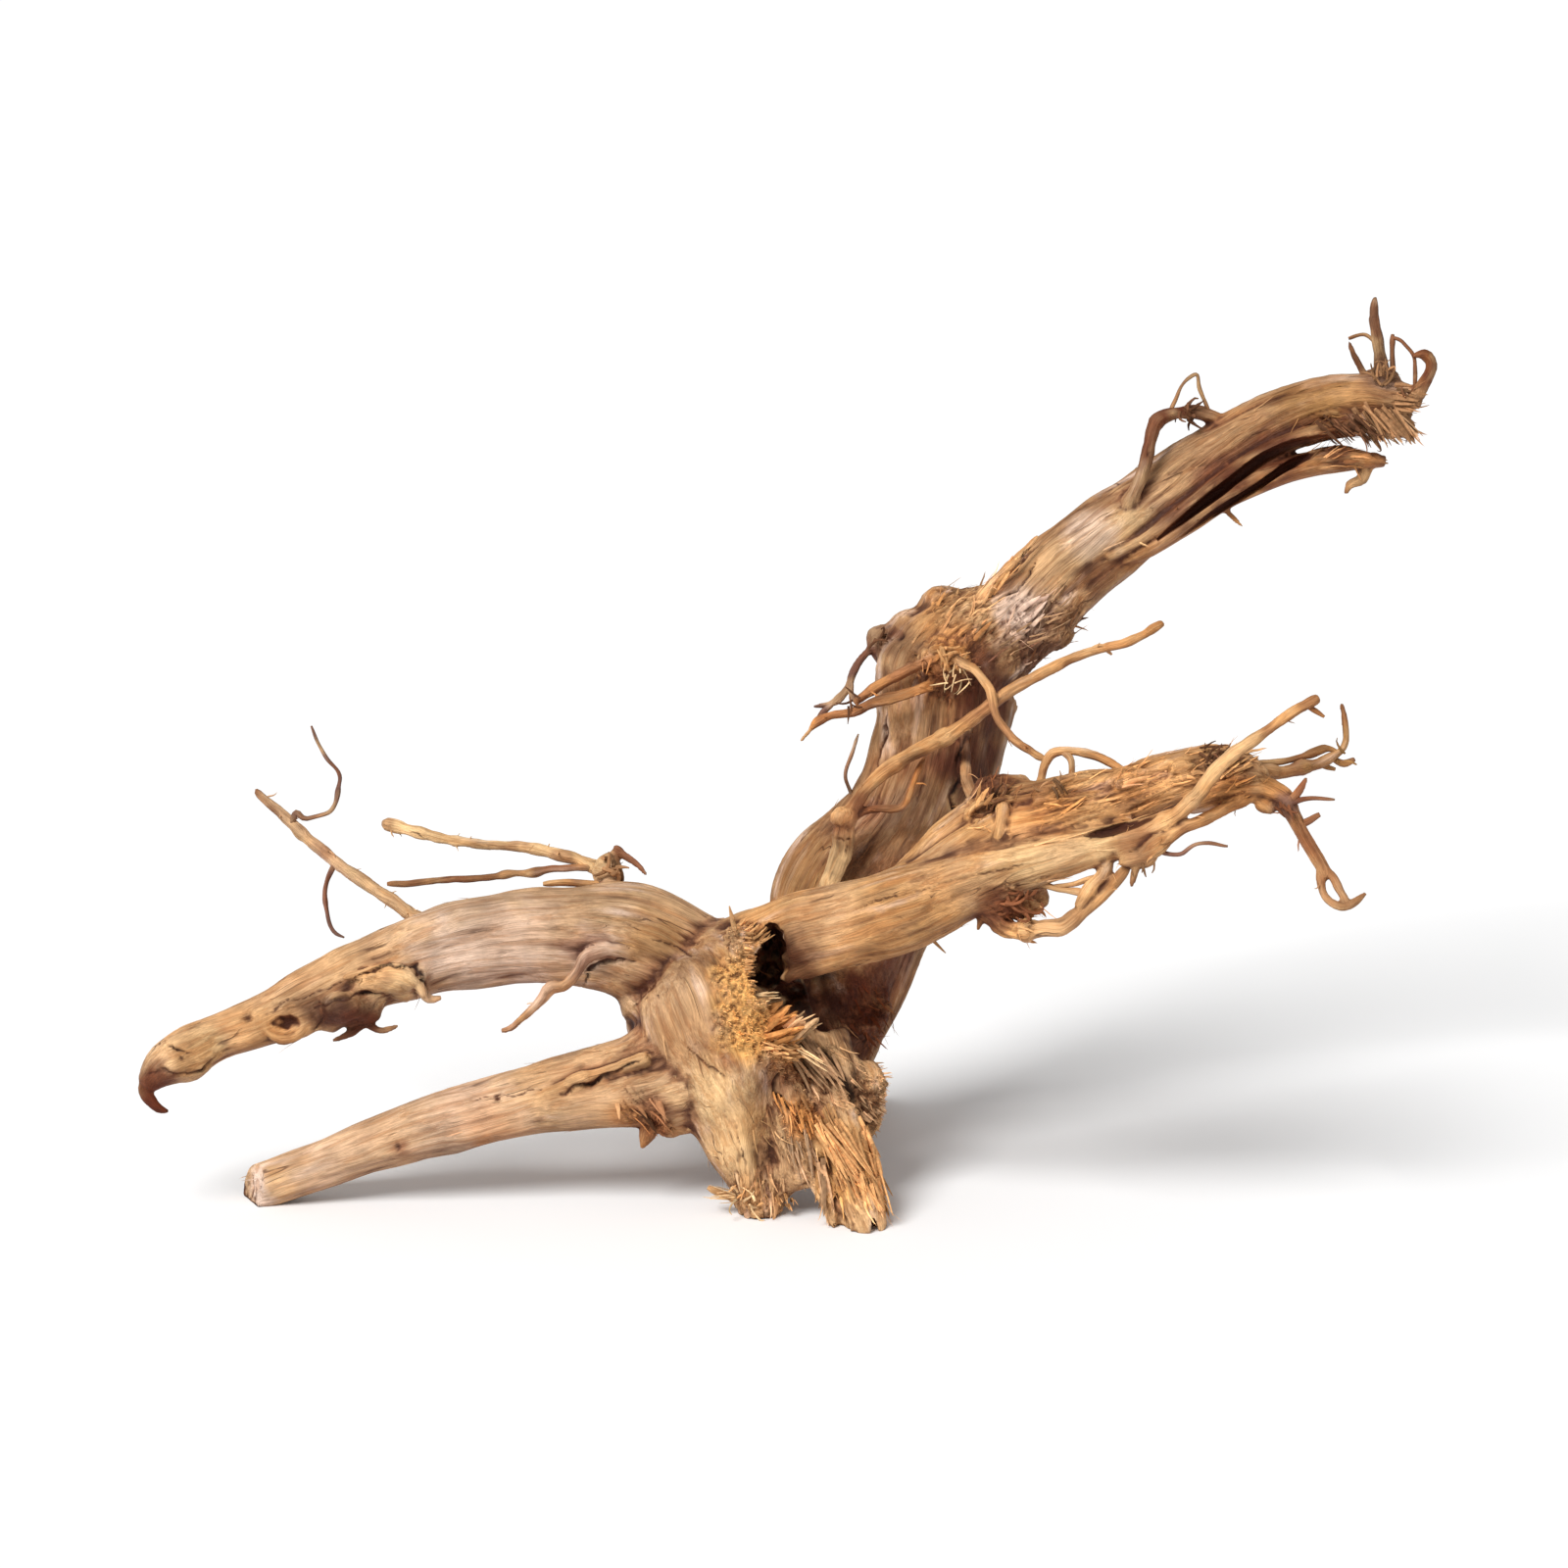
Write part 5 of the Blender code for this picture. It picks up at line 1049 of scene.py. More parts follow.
def tone_of(coords, radius, row, line):
    """The strand's own colour, and how light or dark the band of grain is that runs through each point."""
    along, seed = coords[:, 2] / MM, line["number"]
    broad = long_ripple(coords[:, :2] / (5 * MM), along / 45, seed + 7)
    slim = long_ripple(coords[:, :2] / (2 * MM), along / 24, seed + 8)
    patchy = 0.35 + 0.65 * eased(ripple(coords / (22 * MM), seed + 9), -0.3, 0.4)
    band = (broad + 0.7 * slim) * patchy * BANDED.get(line["name"], BANDS_ELSEWHERE)
    tone = linear(TONES.get(line["name"], TONE_ELSEWHERE))
    return np.column_stack((np.tile(tone, (len(coords), 1)), band))


def way_of(coords, radius, row, line):
    """The way the strand runs."""
    return line["along"][row]


def radius_of(coords, radius, row, line):
    """How thick the strand is."""
    return radius


# Relief, in metres.
def ridged(rippled):
    """Noise as rounded ridges with narrow hollows between them."""
    return np.abs(rippled) ** 0.8 - 0.3


def torn_share(points, zones):
    """How torn the wood is at each point, from 0 to 1, and the way its fibres were pulled."""
    ragged = ripple(points / (4.5 * MM), 5) * 2.6 + ripple(points / (1.8 * MM), 6) * 1.2
    share, pull = np.zeros(len(points)), np.zeros((len(points), 3))
    for (*spot, reach), way in zones.values():
        far = far_from(points, spot) / MM + ragged
        here = 1 - eased(far, reach * 0.7, reach * 1.15)
        share = np.maximum(share, here)
        pull += here[:, None] * np.array(towards(*way))
    return share, pull


def torn_height(points):
    """The crumbled face of torn wood."""
    coarse = ripple(points / (4.2 * MM), 9)
    middle = ripple(points / (2.0 * MM), 10)
    fine = ripple(points / (1.1 * MM), 30)
    return (2.0 * (np.abs(coarse) - 0.25) + 1.2 * (np.abs(middle) - 0.3) + 0.5 * fine) * MM


def shred_height(points):
    """The ridges of loose fibre in the shredded places: they run the way each place was pulled."""
    height = np.zeros(len(points))
    ragged = ripple(points / (4.5 * MM), 5) * 2.6
    for number, ((*spot, reach), way) in enumerate(SHREDDED.values()):
        far = far_from(points, spot) / MM
        near = np.flatnonzero(far < reach * 1.5 + 3)
        share = 1 - eased(far[near] + ragged[near], reach * 0.6, reach * 1.3)
        way = np.array(towards(*way).normalized())
        run = ((points[near] - np.array(placed(*spot))) @ way)[:, None]
        straight = (points[near] - way * run) / (1.2 * MM) + way * run / (26 * MM)
        bend = ripple(straight * 0.25, 60 + number)[:, None]
        coarse = ripple(straight * 0.55 + bend * 0.5, 17 + number)
        fine = ripple(straight * 1.2 + bend, 40 + number)
        found = (1.5 * ridged(coarse) + 0.6 * ridged(fine)) * MM
        height[near] = np.where(share > 0.5, found * share, height[near] + found * share * 0.5)
    return height


def gap_to_path(places, path):
    """How far each place on the picture plane lies from a path of straight stretches on it."""
    far = np.full(len(places), np.inf)
    for a, b in zip(path, path[1:]):
        share = np.clip(((places - a) @ (b - a)) / ((b - a) @ (b - a)), 0, 1)
        far = np.minimum(far, np.linalg.norm(places - a - share[:, None] * (b - a), axis=1))
    return far


def cut_depth(points, facing):
    """How deep the drawn cracks and pits cut each point. facing is 1 where the wood faces the eye."""
    spots = drawn(points)
    depth = np.zeros(len(points))
    sway = ripples(points / (7 * MM), 8, 20, 2) * 1.6
    sway += ripples(points / (2.2 * MM), 9, 20, 2) * 0.5
    broken = 0.55 + 0.45 * eased(ripple(points / (6 * MM), 19), -0.4, 0.3)
    for (width, deep), path in CRACKS.values():
        path = np.array(path, float)
        low, high = path.min(axis=0) - CRACK_MARGIN, path.max(axis=0) + CRACK_MARGIN
        near = np.flatnonzero(((spots > low) & (spots < high)).all(axis=1) & (facing > 0.05))
        if not len(near):
            continue
        path = path[:, :2]
        places = spots[near, :2] + sway[near]
        far = gap_to_path(places, path)
        ends = np.minimum(np.linalg.norm(places - path[0], axis=1), np.linalg.norm(places - path[-1], axis=1))
        taper = 0.35 + 0.65 * eased(ends, 0, 8)
        cut = deep * taper * broken[near] * np.exp(-((far / (width * 0.5 * taper)) ** 2))
        depth[near] = np.maximum(depth[near], cut)
    for place, radius, deep in PITS:
        far = np.linalg.norm(spots - np.array(place), axis=1) / radius
        depth += deep * np.exp(-far**2) * (facing > 0)
    return depth * MM


def edge_ends(obj):
    """The two points of every edge."""
    edges = np.empty(len(obj.data.edges) * 2, np.int64)
    obj.data.edges.foreach_get("vertices", edges)
    return edges.reshape(-1, 2).T


def evened(points, start, end, passes):
    """The points, each moved to the middle of its neighbours over and over."""
    count = np.maximum(np.bincount(start, minlength=len(points)) + np.bincount(end, minlength=len(points)), 1)
    level = points.copy()
    for turn in range(passes):
        total = np.empty_like(level)
        for axis in range(3):
            total[:, axis] = np.bincount(start, level[end, axis], len(points))
            total[:, axis] += np.bincount(end, level[start, axis], len(points))
        level = total / count[:, None]
    return level


def sawn(points):
    """Flattens the sawn end of the lower arm."""
    spot, way = SAWN_END
    way = np.array(towards(*way).normalized())
    beyond = np.maximum((points - np.array(placed(*spot))) @ way, 0) * (far_from(points, spot) < SAWN_REACH)
    return points - beyond[:, None] * way


def worn(obj, points):
    """Rounds the edge of the mouth, where the branch runs into it."""
    spot, reach, passes = WORN
    far = far_from(points, spot) / (reach * MM)
    near = np.flatnonzero(far < 1.2)
    number = np.full(len(points), -1)
    number[near] = np.arange(len(near))
    start, end = edge_ends(obj)
    kept = (number[start] >= 0) & (number[end] >= 0)
    level = evened(points[near], number[start[kept]], number[end[kept]], passes)
    share = 1 - eased(far[near], 0.45, 1.0)[:, None]
    points[near] += (level - points[near]) * share
    return points


def fused_wood():
    """The limbs, knots and thicker roots run together into one skin, with its hollows and slots cut."""
    shapes = [tube(line, LIMB_SIDES, FLUTES[number], number) for number, line in enumerate(LIMB_LINES)]
    shapes += [egg(*knot, KNOT_ROUGHNESS) for knot in (KNOTS | LUMPS).values()]
    body = mesh_object("root_wood", shapes)
    fuse(body, COARSE_VOXEL, COARSE_PASSES)
    carve(body, [mesh_object(name, [egg(*hollow)]) for name, hollow in HOLLOWS.items()])
    roots = [tube(line, ROOT_SIDES, ROOT_FLUTE, phase=line["number"], gain=ROOT_GAIN) for line in ROOT_LINES]
    roots += [tube(line, STRIP_SIDES, gain=STRIP_GAIN) for line in STRIP_LINES]
    join(body, mesh_object("roots", roots))
    fuse(body, FINE_VOXEL, FINE_PASSES)
    slots = [strand(name, route, SLOT_STEP, SLOT_THICKNESS) for name, route in SLOTS.items()]
    cutters = [mesh_object(line["name"], [tube(line, SLOT_SIDES)]) for line in slots]
    carve(body, cutters + [mesh_object("ground", [block(*GROUND_BLOCK)])])
    return body


def raise_relief(body):
    """Raises ribs, torn faces and loose fibre on the body and sinks the cracks."""
    points, normals = arrays_of(body)
    torn = torn_share(points, TORN)[0]
    ribs = blend_over(points, LINES, gaps_to(points, LINES), RIB_SOFTNESS, rib_height)[:, 0]
    facing = -normals @ np.array(EYE_LINE)
    height = ribs * (1 - 0.6 * torn) + torn_height(points) * torn - cut_depth(points, facing)
    height += shred_height(points) * (1 - torn)
    put_points(body, points + normals * height[:, None])


def shape_wood():
    """The finished skin of the root."""
    body = fused_wood()
    put_points(body, worn(body, sawn(arrays_of(body)[0])))
    raise_relief(body)
    thin = body.modifiers.new("thin", "DECIMATE")
    thin.use_collapse_triangulate = True
    thin.ratio = WOOD_TRIANGLES / (2 * len(body.data.polygons))
    settle(body)
    keep_in_box(body)
    return body


# Colours and grain directions kept on the mesh.
def linear(name):
    """A named colour as linear light."""
    value = np.array(COLOURS[name]) / 255
    return np.where(value <= 0.04045, value / 12.92, ((value + 0.055) / 1.055) ** 2.4)


def mixed(colours, name, share):
    """The colours with a share of a named one mixed into each."""
    return colours + (linear(name) - colours) * share[:, None]


def hollowness(obj, points, normals, passes):
    """How far each point lies below the wood round it, in millimetres: below 0 on a ridge."""
    level = evened(points, *edge_ends(obj), passes)
    return ((level - points) * normals).sum(axis=1) / MM


def paint(points, normals, gaps, lines, thick, loose, near_hollow, wide_hollow):
    """The wood's colour at each point, before its fine grain, with painted shade in its hollows, cracks and
    pits and on its undersides, and painted highlights on its ridges and in pale patches.
    """
    found = blend_over(points, lines, gaps, COLOUR_SOFTNESS, tone_of, 4)
    colours, band = found[:, :3], found[:, 3]
    facing = -normals @ np.array(EYE_LINE)
    ragged = ripple(points / (7 * MM), 11) * 0.35 + ripple(points / (2.5 * MM), 12) * 0.15
    for name, wide, seed, (low, high), strength in BLOTCHES:
        share = eased(ripple(points / (wide * MM), seed) + ragged, low, high)
        colours = mixed(colours, name, share * strength)
    thin = 1 - eased(thick / MM, 2.0, 4.5)
    banded = ripple(points / (12 * MM), 33) + 0.35 * ripple(points / (3.5 * MM), 35)
    colours = mixed(colours, "red_brown", thin * eased(banded, 0.0, 0.5) * 0.6)
    colours = mixed(colours, "straw", thin * eased(-banded, 0.0, 0.5) * 0.4)
    # Painted highlights: ridges, where the skin stands above the wood round it, are lightened towards straw.
    colours = mixed(colours, "straw", eased(-near_hollow, 0.03, 0.3) * 0.3 * (1 - thin))
    colours = mixed(colours, "umber", eased(-band, 0.1, 0.65) * 0.3)
    bright = eased(colours.mean(axis=1), 0.1, 0.2) * (1 - 0.5 * thin)
    colours = mixed(colours, "pale", eased(band, 0.1, 0.6) * 0.6 * bright)
    # The patches: the wood's own colours, painted shade (dark, deep, black) and painted highlights (pale,
    # straw).
    for *spot, reach, name, strength in PATCHES:
        far = far_from(points, spot) / (reach * MM)
        here = (1 - eased(far + ragged, 0.45 if reach < SMALL_PATCH else 0.15, 1.2)) * strength
        colours = mixed(colours, name, here)
    colours = mixed(colours, "umber", eased(-band, 0.1, 0.65) * 0.5)
    # Painted shade: the wide and the narrow hollows are darkened, less where the wood is torn or shredded.
    colours = mixed(colours, "red_brown", eased(wide_hollow, 0.03, 0.5) * 0.6)
    colours = mixed(colours, "dark", eased(wide_hollow, 0.5, 1.6) * 0.8)
    colours = mixed(colours, "dark", eased(near_hollow, 0.02, 0.28) * 0.85 * (1 - 0.45 * loose))
    # Painted shade: faces that look down are darkened.
    colours = mixed(colours, "deep", eased(-normals[:, 2], 0.15, 0.9) * 0.5)
    # Painted shade: the cracks and pits are painted black inside.
    cut = eased(cut_depth(points, facing) / MM, 0.3, 1.6)
    return mixed(colours * np.array(WARMTH), "black", cut * 0.85)


def nearness(points, places, ragged, low, high):
    """How close each point lies to a place, from 0 to 1. Each place is (across, up, back, reach, weight)."""
    near = np.zeros(len(points))
    for *spot, reach, weight in places:
        far = far_from(points, spot) / (reach * MM)
        near = np.maximum(near, (1 - eased(far + ragged, low, high)) * weight)
    return near


def grain_on_corners(obj, points, lines, gaps):
    """Keeps on each face corner its place in the straight wood of the two nearest strands, and their shares.

    The third strand's share is taken off the others, so that the grain has no seam where the strands change.
    """
    mesh = obj.data
    corners = np.empty(len(mesh.loops), np.int32)
    mesh.loops.foreach_get("vertex_index", corners)
    faces = corners.reshape(-1, 3)
    share = np.exp(-np.clip(gaps, 0, None) / COLOUR_SOFTNESS).astype(np.float32)
    whole = share[:, faces[:, 0]] + share[:, faces[:, 1]] + share[:, faces[:, 2]]
    order = np.argsort(-whole, axis=0)[:3]
    own = [np.repeat(order[rank], 3) for rank in range(3)]
    part = [share[own[rank], corners] for rank in range(3)]
    first, second = np.maximum(part[0] - part[2], 1e-6), np.maximum(part[1] - part[2], 0)
    store(obj, "grain_mix", "FLOAT", second / (first + second), "CORNER")
    for rank, name in enumerate(GRAIN_PLACES):
        coords = np.zeros((len(corners), 3))
        for number in np.unique(own[rank]):
            chosen = np.flatnonzero(own[rank] == number)
            here, inverse = np.unique(corners[chosen], return_inverse=True)
            found = straightened(points[here], lines[number])[0] / MM
            found[:, 2] += lines[number]["number"] * 3.7
            coords[chosen] = found[inverse]
        store(obj, name, "FLOAT_VECTOR", coords, "CORNER")


def dress(obj, lines):
    """Works out the grain, colours and torn places of a wooden piece and keeps them on its mesh."""
    points, normals = arrays_of(obj)
    gaps = gaps_to(points, lines)
    near_hollow, wide_hollow = (hollowness(obj, points, normals, passes) for passes in HOLLOW_PASSES)
    torn, pull = torn_share(points, TORN)
    shredded, run = torn_share(points, SHREDDED)
    run -= normals * (run * normals).sum(axis=1)[:, None]
    ragged = ripple(points / (3 * MM), 16) * 0.3
    fuzz = nearness(points, [(*place, 1) for place in FUZZ], ragged, 0.3, 1.1)
    scraps = [(*place, strength) for *place, name, strength in PATCHES if name in SATIN_COLOURS]
    satin = nearness(points, scraps, ragged * 0.5, 0.6, 1.2)
    off_ground = eased(points[:, 2], 2 * MM, 7 * MM)
    thick = blend_over(points, lines, gaps, COLOUR_SOFTNESS, radius_of)[:, 0]
    shares = {
        "satin": satin * (1 - torn) * (1 - shredded),
        "torn": torn,
        "torn_off_ground": torn * off_ground,
        "shredded": shredded * off_ground,
        "fuzz": fuzz * off_ground,
        "stringy": eased(thick / MM, 3.5, 8) * off_ground * (1 - torn),
        "rooty": (1 - eased(thick / MM, 2.6, 3.8)) * off_ground,
    }
    ways = {"run": run, "pull": pull, "way": blend_over(points, lines, gaps, COLOUR_SOFTNESS, way_of, 3)}
    colours = paint(points, normals, gaps, lines, thick, np.maximum(torn, shredded), near_hollow, wide_hollow)
    # wood_colour holds the wood's own colours together with the painted shade and painted highlights of
    # paint().
    store(obj, "wood_colour", "FLOAT_COLOR", colours)
    for name, values in shares.items():
        store(obj, name, "FLOAT", values)
    for name, values in ways.items():
        store(obj, name, "FLOAT_VECTOR", values)
    grain_on_corners(obj, points, lines, gaps)


# Node trees: add() adds a node, and an input is a plain value or the output of another node.
def fill(tree, socket, value):
    """Links an output to the socket, or sets the socket to a value."""
    if isinstance(value, bpy.types.NodeSocket):
        tree.links.new(value, socket)
    else:
        socket.default_value = value


def add(tree, kind, inputs=None, **settings):
    """A new node with its settings and its inputs."""
    made = tree.nodes.new(kind)
    for name, value in settings.items():
        setattr(made, name, value)
    for key, value in (inputs or {}).items():
        fill(tree, made.inputs[key], value)
    return made


def maths(tree, operation, *values):
    """The result of a sum of numbers."""
    return add(tree, "ShaderNodeMath", dict(enumerate(values)), operation=operation).outputs[0]


def times(tree, first, second):
    """The product of two numbers."""
    return maths(tree, "MULTIPLY", first, second)


def vectors(tree, operation, first, second):
    """The result of a sum of vectors. For SCALE, second is a number."""
    key = "Scale" if operation == "SCALE" else 1
    return add(tree, "ShaderNodeVectorMath", {0: first, key: second}, operation=operation).outputs[0]


def kept(tree, name, output="Fac"):
    """What the mesh keeps under a name."""
    return add(tree, "ShaderNodeAttribute", attribute_name=name).outputs[output]


def noise_at(tree, place, spacing, detail=2.0, rough=0.55, output="Fac"):
    """Noise from about 0 to 1 whose features are spacing wide along each axis."""
    where = vectors(tree, "MULTIPLY", place, tuple(1 / s for s in spacing))
    settings = {"Vector": where, "Scale": 1.0, "Detail": detail, "Roughness": rough}
    return add(tree, "ShaderNodeTexNoise", settings).outputs[output]


def ramp(tree, value, low, high, start=0.0, end=1.0):
    """A smooth step from start, where value is low, to end, where it is high."""
    ranges = {"Value": value, "From Min": low, "From Max": high, "To Min": start, "To Max": end}
    return add(tree, "ShaderNodeMapRange", ranges, interpolation_type="SMOOTHSTEP").outputs["Result"]


def between(tree, share, first, second):
    """A number that goes from first to second as share goes from 0 to 1."""
    return add(tree, "ShaderNodeMix", {0: share, 2: first, 3: second}).outputs[0]


def blend_colour(tree, share, first, second, way="MIX"):
    """The first colour with a share of the second laid over it."""
    inputs = {0: share, 6: first, 7: second}
    return add(tree, "ShaderNodeMix", inputs, data_type="RGBA", blend_type=way).outputs[2]


def shaded(tree, colour, level):
    """A colour made lighter or darker by a number."""
    grey = add(tree, "ShaderNodeCombineColor", {0: level, 1: level, 2: level}).outputs[0]
    return blend_colour(tree, 1.0, colour, grey, "MULTIPLY")


# The wood's finishes.
def straight_grain():
    """Streaks, fibres and fine splits of straight wood, at a place across, deep and along in millimetres."""
    tree = bpy.data.node_groups.new("straight_grain", "ShaderNodeTree")
    tree.interface.new_socket("Place", in_out="INPUT", socket_type="NodeSocketVector")
    for name in GRAIN_PARTS:
        tree.interface.new_socket(name, in_out="OUTPUT", socket_type="NodeSocketFloat")
    place = add(tree, "NodeGroupInput").outputs["Place"]
    sway = noise_at(tree, place, (9.0, 9.0, 26.0), output="Color")
    sway = vectors(tree, "MULTIPLY", vectors(tree, "SUBTRACT", sway, (0.5, 0.5, 0.5)), (3.4, 3.4, 0.0))
    bent = vectors(tree, "ADD", place, sway)
    streak = noise_at(tree, bent, (1.9, 1.9, 42.0), 3.0, 0.62)
    fibre = noise_at(tree, bent, (0.42, 0.42, 11.0), 3.0, 0.6)
    line = noise_at(tree, bent, (5.5, 5.5, 80.0), 1.0)
    off = maths(tree, "ABSOLUTE", maths(tree, "SUBTRACT", line, 0.5))
    split = ramp(tree, off, 0.002, 0.012, 1.0, 0.0)
    broken = ramp(tree, noise_at(tree, place, (7.0, 7.0, 24.0), 1.0), 0.54, 0.62)
    parts = (ramp(tree, streak, 0.32, 0.68), ramp(tree, fibre, 0.3, 0.7), times(tree, split, broken))
    add(tree, "NodeGroupOutput", dict(zip(GRAIN_PARTS, parts)))
    return tree


def wood_material(name, specular):
    """A new material, the colour kept on the mesh in it (on the root's skin, the wood's own colour with
    painted shade and painted highlights), and the place on the object in millimetres.
    """
    material = bpy.data.materials.new(name)
    material.use_nodes = True
    tree = material.node_tree
    tree.nodes["Principled BSDF"].inputs["Specular IOR Level"].default_value = specular
    place = vectors(tree, "SCALE", add(tree, "ShaderNodeTexCoord").outputs["Object"], 1 / MM)
    return material, kept(tree, "wood_colour", "Color"), place


def finish_wood(tree, base, gloss, height, strength, distance):
    """Links the shader of a wood to its colour, its roughness and its bumps."""
    bump = add(tree, "ShaderNodeBump", {"Strength": strength, "Distance": distance, "Height": height})
    shader = tree.nodes["Principled BSDF"]
    for name, output in {"Base Color": base, "Roughness": gloss, "Normal": bump.outputs[0]}.items():
        tree.links.new(output, shader.inputs[name])


def weathered_wood():
    """The root's own wood: straight grain that follows each limb, fine splits, and crumb where it is torn."""
    material, colour, place = wood_material("weathered_wood", WOOD_SPECULAR)
    tree = material.node_tree
    torn, shredded = kept(tree, "torn"), kept(tree, "shredded")
    grain, share = straight_grain(), kept(tree, "grain_mix")
    sides = [
        add(tree, "ShaderNodeGroup", {"Place": kept(tree, name, "Vector")}, node_tree=grain).outputs
        for name in GRAIN_PLACES
    ]
    streak, fibre, split = (between(tree, share, sides[0][name], sides[1][name]) for name in GRAIN_PARTS)
    blotch = noise_at(tree, place, (16.0, 16.0, 16.0), 4.0, 0.6)
    crumb_noise = noise_at(tree, place, (1.1, 1.1, 1.1), 3.0, 0.65)
    flake_noise = noise_at(tree, place, (3.2, 3.2, 3.2), 2.0, 0.6)
    plain = times(tree, ramp(tree, streak, 0.0, 1.0, 0.8, 1.1), ramp(tree, fibre, 0.0, 1.0, 0.82, 1.13))
    strong = times(tree, ramp(tree, streak, 0.0, 1.0, 0.6, 1.2), ramp(tree, fibre, 0.0, 1.0, 0.7, 1.2))
    level = between(tree, shredded, plain, strong)
    level = times(tree, level, ramp(tree, blotch, 0.3, 0.7, 0.76, 1.18))
    crumbled = ramp(tree, crumb_noise, 0.3, 0.7, 0.55, 1.3)
    crumbled = times(tree, crumbled, ramp(tree, flake_noise, 0.3, 0.7, 0.7, 1.15))
    base = shaded(tree, colour, between(tree, torn, level, crumbled))
    redder = blend_colour(tree, 1.0, base, REDDENING, "MULTIPLY")
    dull = maths(tree, "SUBTRACT", 1.0, ramp(tree, streak, 0.0, 0.6))
    base = blend_colour(tree, times(tree, dull, 0.55), base, redder)
    sound = maths(tree, "SUBTRACT", 1.0, torn)
    here = times(tree, ramp(tree, blotch, 0.46, 0.56), sound)
    cut = times(tree, times(tree, split, here), 0.7)
    base = blend_colour(tree, cut, base, (*linear("dark"), 1))
    gloss = between(tree, kept(tree, "satin"), ramp(tree, streak, 0.0, 1.0, 0.72, 0.58), 0.42)
    gloss = between(tree, torn, gloss, 0.9)
    grain_height = maths(tree, "ADD", times(tree, streak, 0.6), times(tree, fibre, 0.35))
    grain_height = maths(tree, "SUBTRACT", grain_height, times(tree, split, 0.9))
    rough_height = maths(tree, "ADD", times(tree, crumb_noise, 2.4), flake_noise)
    height = between(tree, torn, grain_height, rough_height)
    finish_wood(tree, base, gloss, height, 0.9, 0.5 * MM)
    return material


def loose_wood(name, brightness, spacing):
    """Splinters and fibres: the colour of the wood they came from, times brightness, and uneven."""
    material, colour, place = wood_material(name, LOOSE_SPECULAR)
    tree = material.node_tree
    uneven = noise_at(tree, place, (spacing, spacing, spacing), 3.0, 0.6)
    own = ramp(tree, kept(tree, "own_shade"), 0.0, 1.0, 0.62, 1.25)
    level = times(tree, times(tree, ramp(tree, uneven, 0.3, 0.7, 0.75, 1.2), own), brightness)
    gloss = ramp(tree, uneven, 0.3, 0.7, 0.85, 0.6)
    finish_wood(tree, shaded(tree, colour, level), gloss, uneven, 0.6, 0.15 * MM)
    return material


# Shapes of loose wood.
def sliver(name, length, width, flat, curl, rows, sides, dice):
    """A closed tapered fibre from the origin up +Z, with a wandering middle; sizes in millimetres."""
    lean, swing = dice.uniform(-curl, curl), dice.uniform(-curl, curl)
    kink = [dice.uniform(-1, 1) * curl * 0.35 for row in range(rows)]
    centres, x, y, z, tilt, turn = [], 0.0, 0.0, 0.0, 0.0, 0.0
    step = length / (rows - 1)
    for row in range(rows):
        centres.append((x, y, z))
        tilt += lean / rows + kink[row]
        turn += swing / rows - kink[row - 1]
        x += step * math.sin(tilt)
        y += step * math.sin(turn)
        z += step * max(0.25, math.cos(tilt) * math.cos(turn))
    points = []
    for row, centre in enumerate(centres[:-1]):
        t = row / (rows - 1)
        wide = width / 2 * (1 - 0.75 * t**1.6) * (0.75 + 0.25 * dice.random())
        for k in range(sides):
            angle = 2 * math.pi * k / sides
            across, deep = wide * math.cos(angle), wide * flat * math.sin(angle)
            points.append((centre[0] + across, centre[1] + deep, centre[2]))
    tip = len(points)
    points += [centres[-1], (0.0, 0.0, -0.4 * width)]
    faces = ring_walls(rows - 1, sides) + ring_ends(rows - 1, sides, tip + 1, tip)
    return mesh_object(name, [(np.array(points) * MM, faces)])


def crumb(name, width, dice):
    """A closed angular crumb of broken wood round the origin; width in millimetres."""
    def moved(place):
        """Where a point of the ball lies on the crumb."""
        place = Vector([value * dice.uniform(0.5, 1.15) for value in place])
        place.z *= CRUMB_STRETCH
        return place

    return mesh_object(name, [ball(CRUMB_DIVISIONS, width / 2 * MM, moved)])


def stick(foot, lean, long, wide, dice):
    """One broken stick of fibre: flat, a little bent, split to a slanting point at its end."""
    side = lean.orthogonal().normalized()
    turned = side * math.cos(dice.uniform(0, 3.1)) + lean.cross(side) * math.sin(dice.uniform(0, 3.1))
    side = turned.normalized()
    other = lean.cross(side)
    flat = dice.uniform(0.35, 0.9)
    bow = [dice.uniform(-1, 1) * long * 0.05 for axis in range(2)]
    corners = [(math.cos(a) * dice.uniform(0.8, 1.1), math.sin(a) * flat) for a in STICK_CORNERS]
    points = []
    for t, grown in STICK_RINGS:
        middle = foot + lean * long * t + side * bow[0] * math.sin(3 * t) + other * bow[1] * t * t
        for x, y in corners:
            slant = 1 + 0.25 * x * (t > 0.9)
            points.append(middle + (side * x + other * y) * wide * grown * slant)
    aside = bow[0] * math.sin(3) + wide * dice.uniform(-0.5, 0.5)
    points.append(foot + lean * long + side * aside + other * bow[1])
    sides, tip = len(corners), len(points) - 1
    last = tip - sides
    faces = [tuple(range(sides - 1, -1, -1)), *ring_walls(len(STICK_RINGS), sides)]
    faces += [(last + k, last + (k + 1) % sides, tip) for k in range(sides)]
    return np.array([p[:] for p in points]), faces


def in_box(place):
    """Whether a place, seen from above, lies in the CAD solid's box with a millimetre to spare."""
    low, high = CAD_BOX
    return all(low[axis] + MM < place[axis] < high[axis] - MM for axis in range(2))


def strays(dice, spread):
    """Three numbers that stray from 0, as a direction."""
    return Vector([dice.gauss(0, spread) for axis in range(3)])


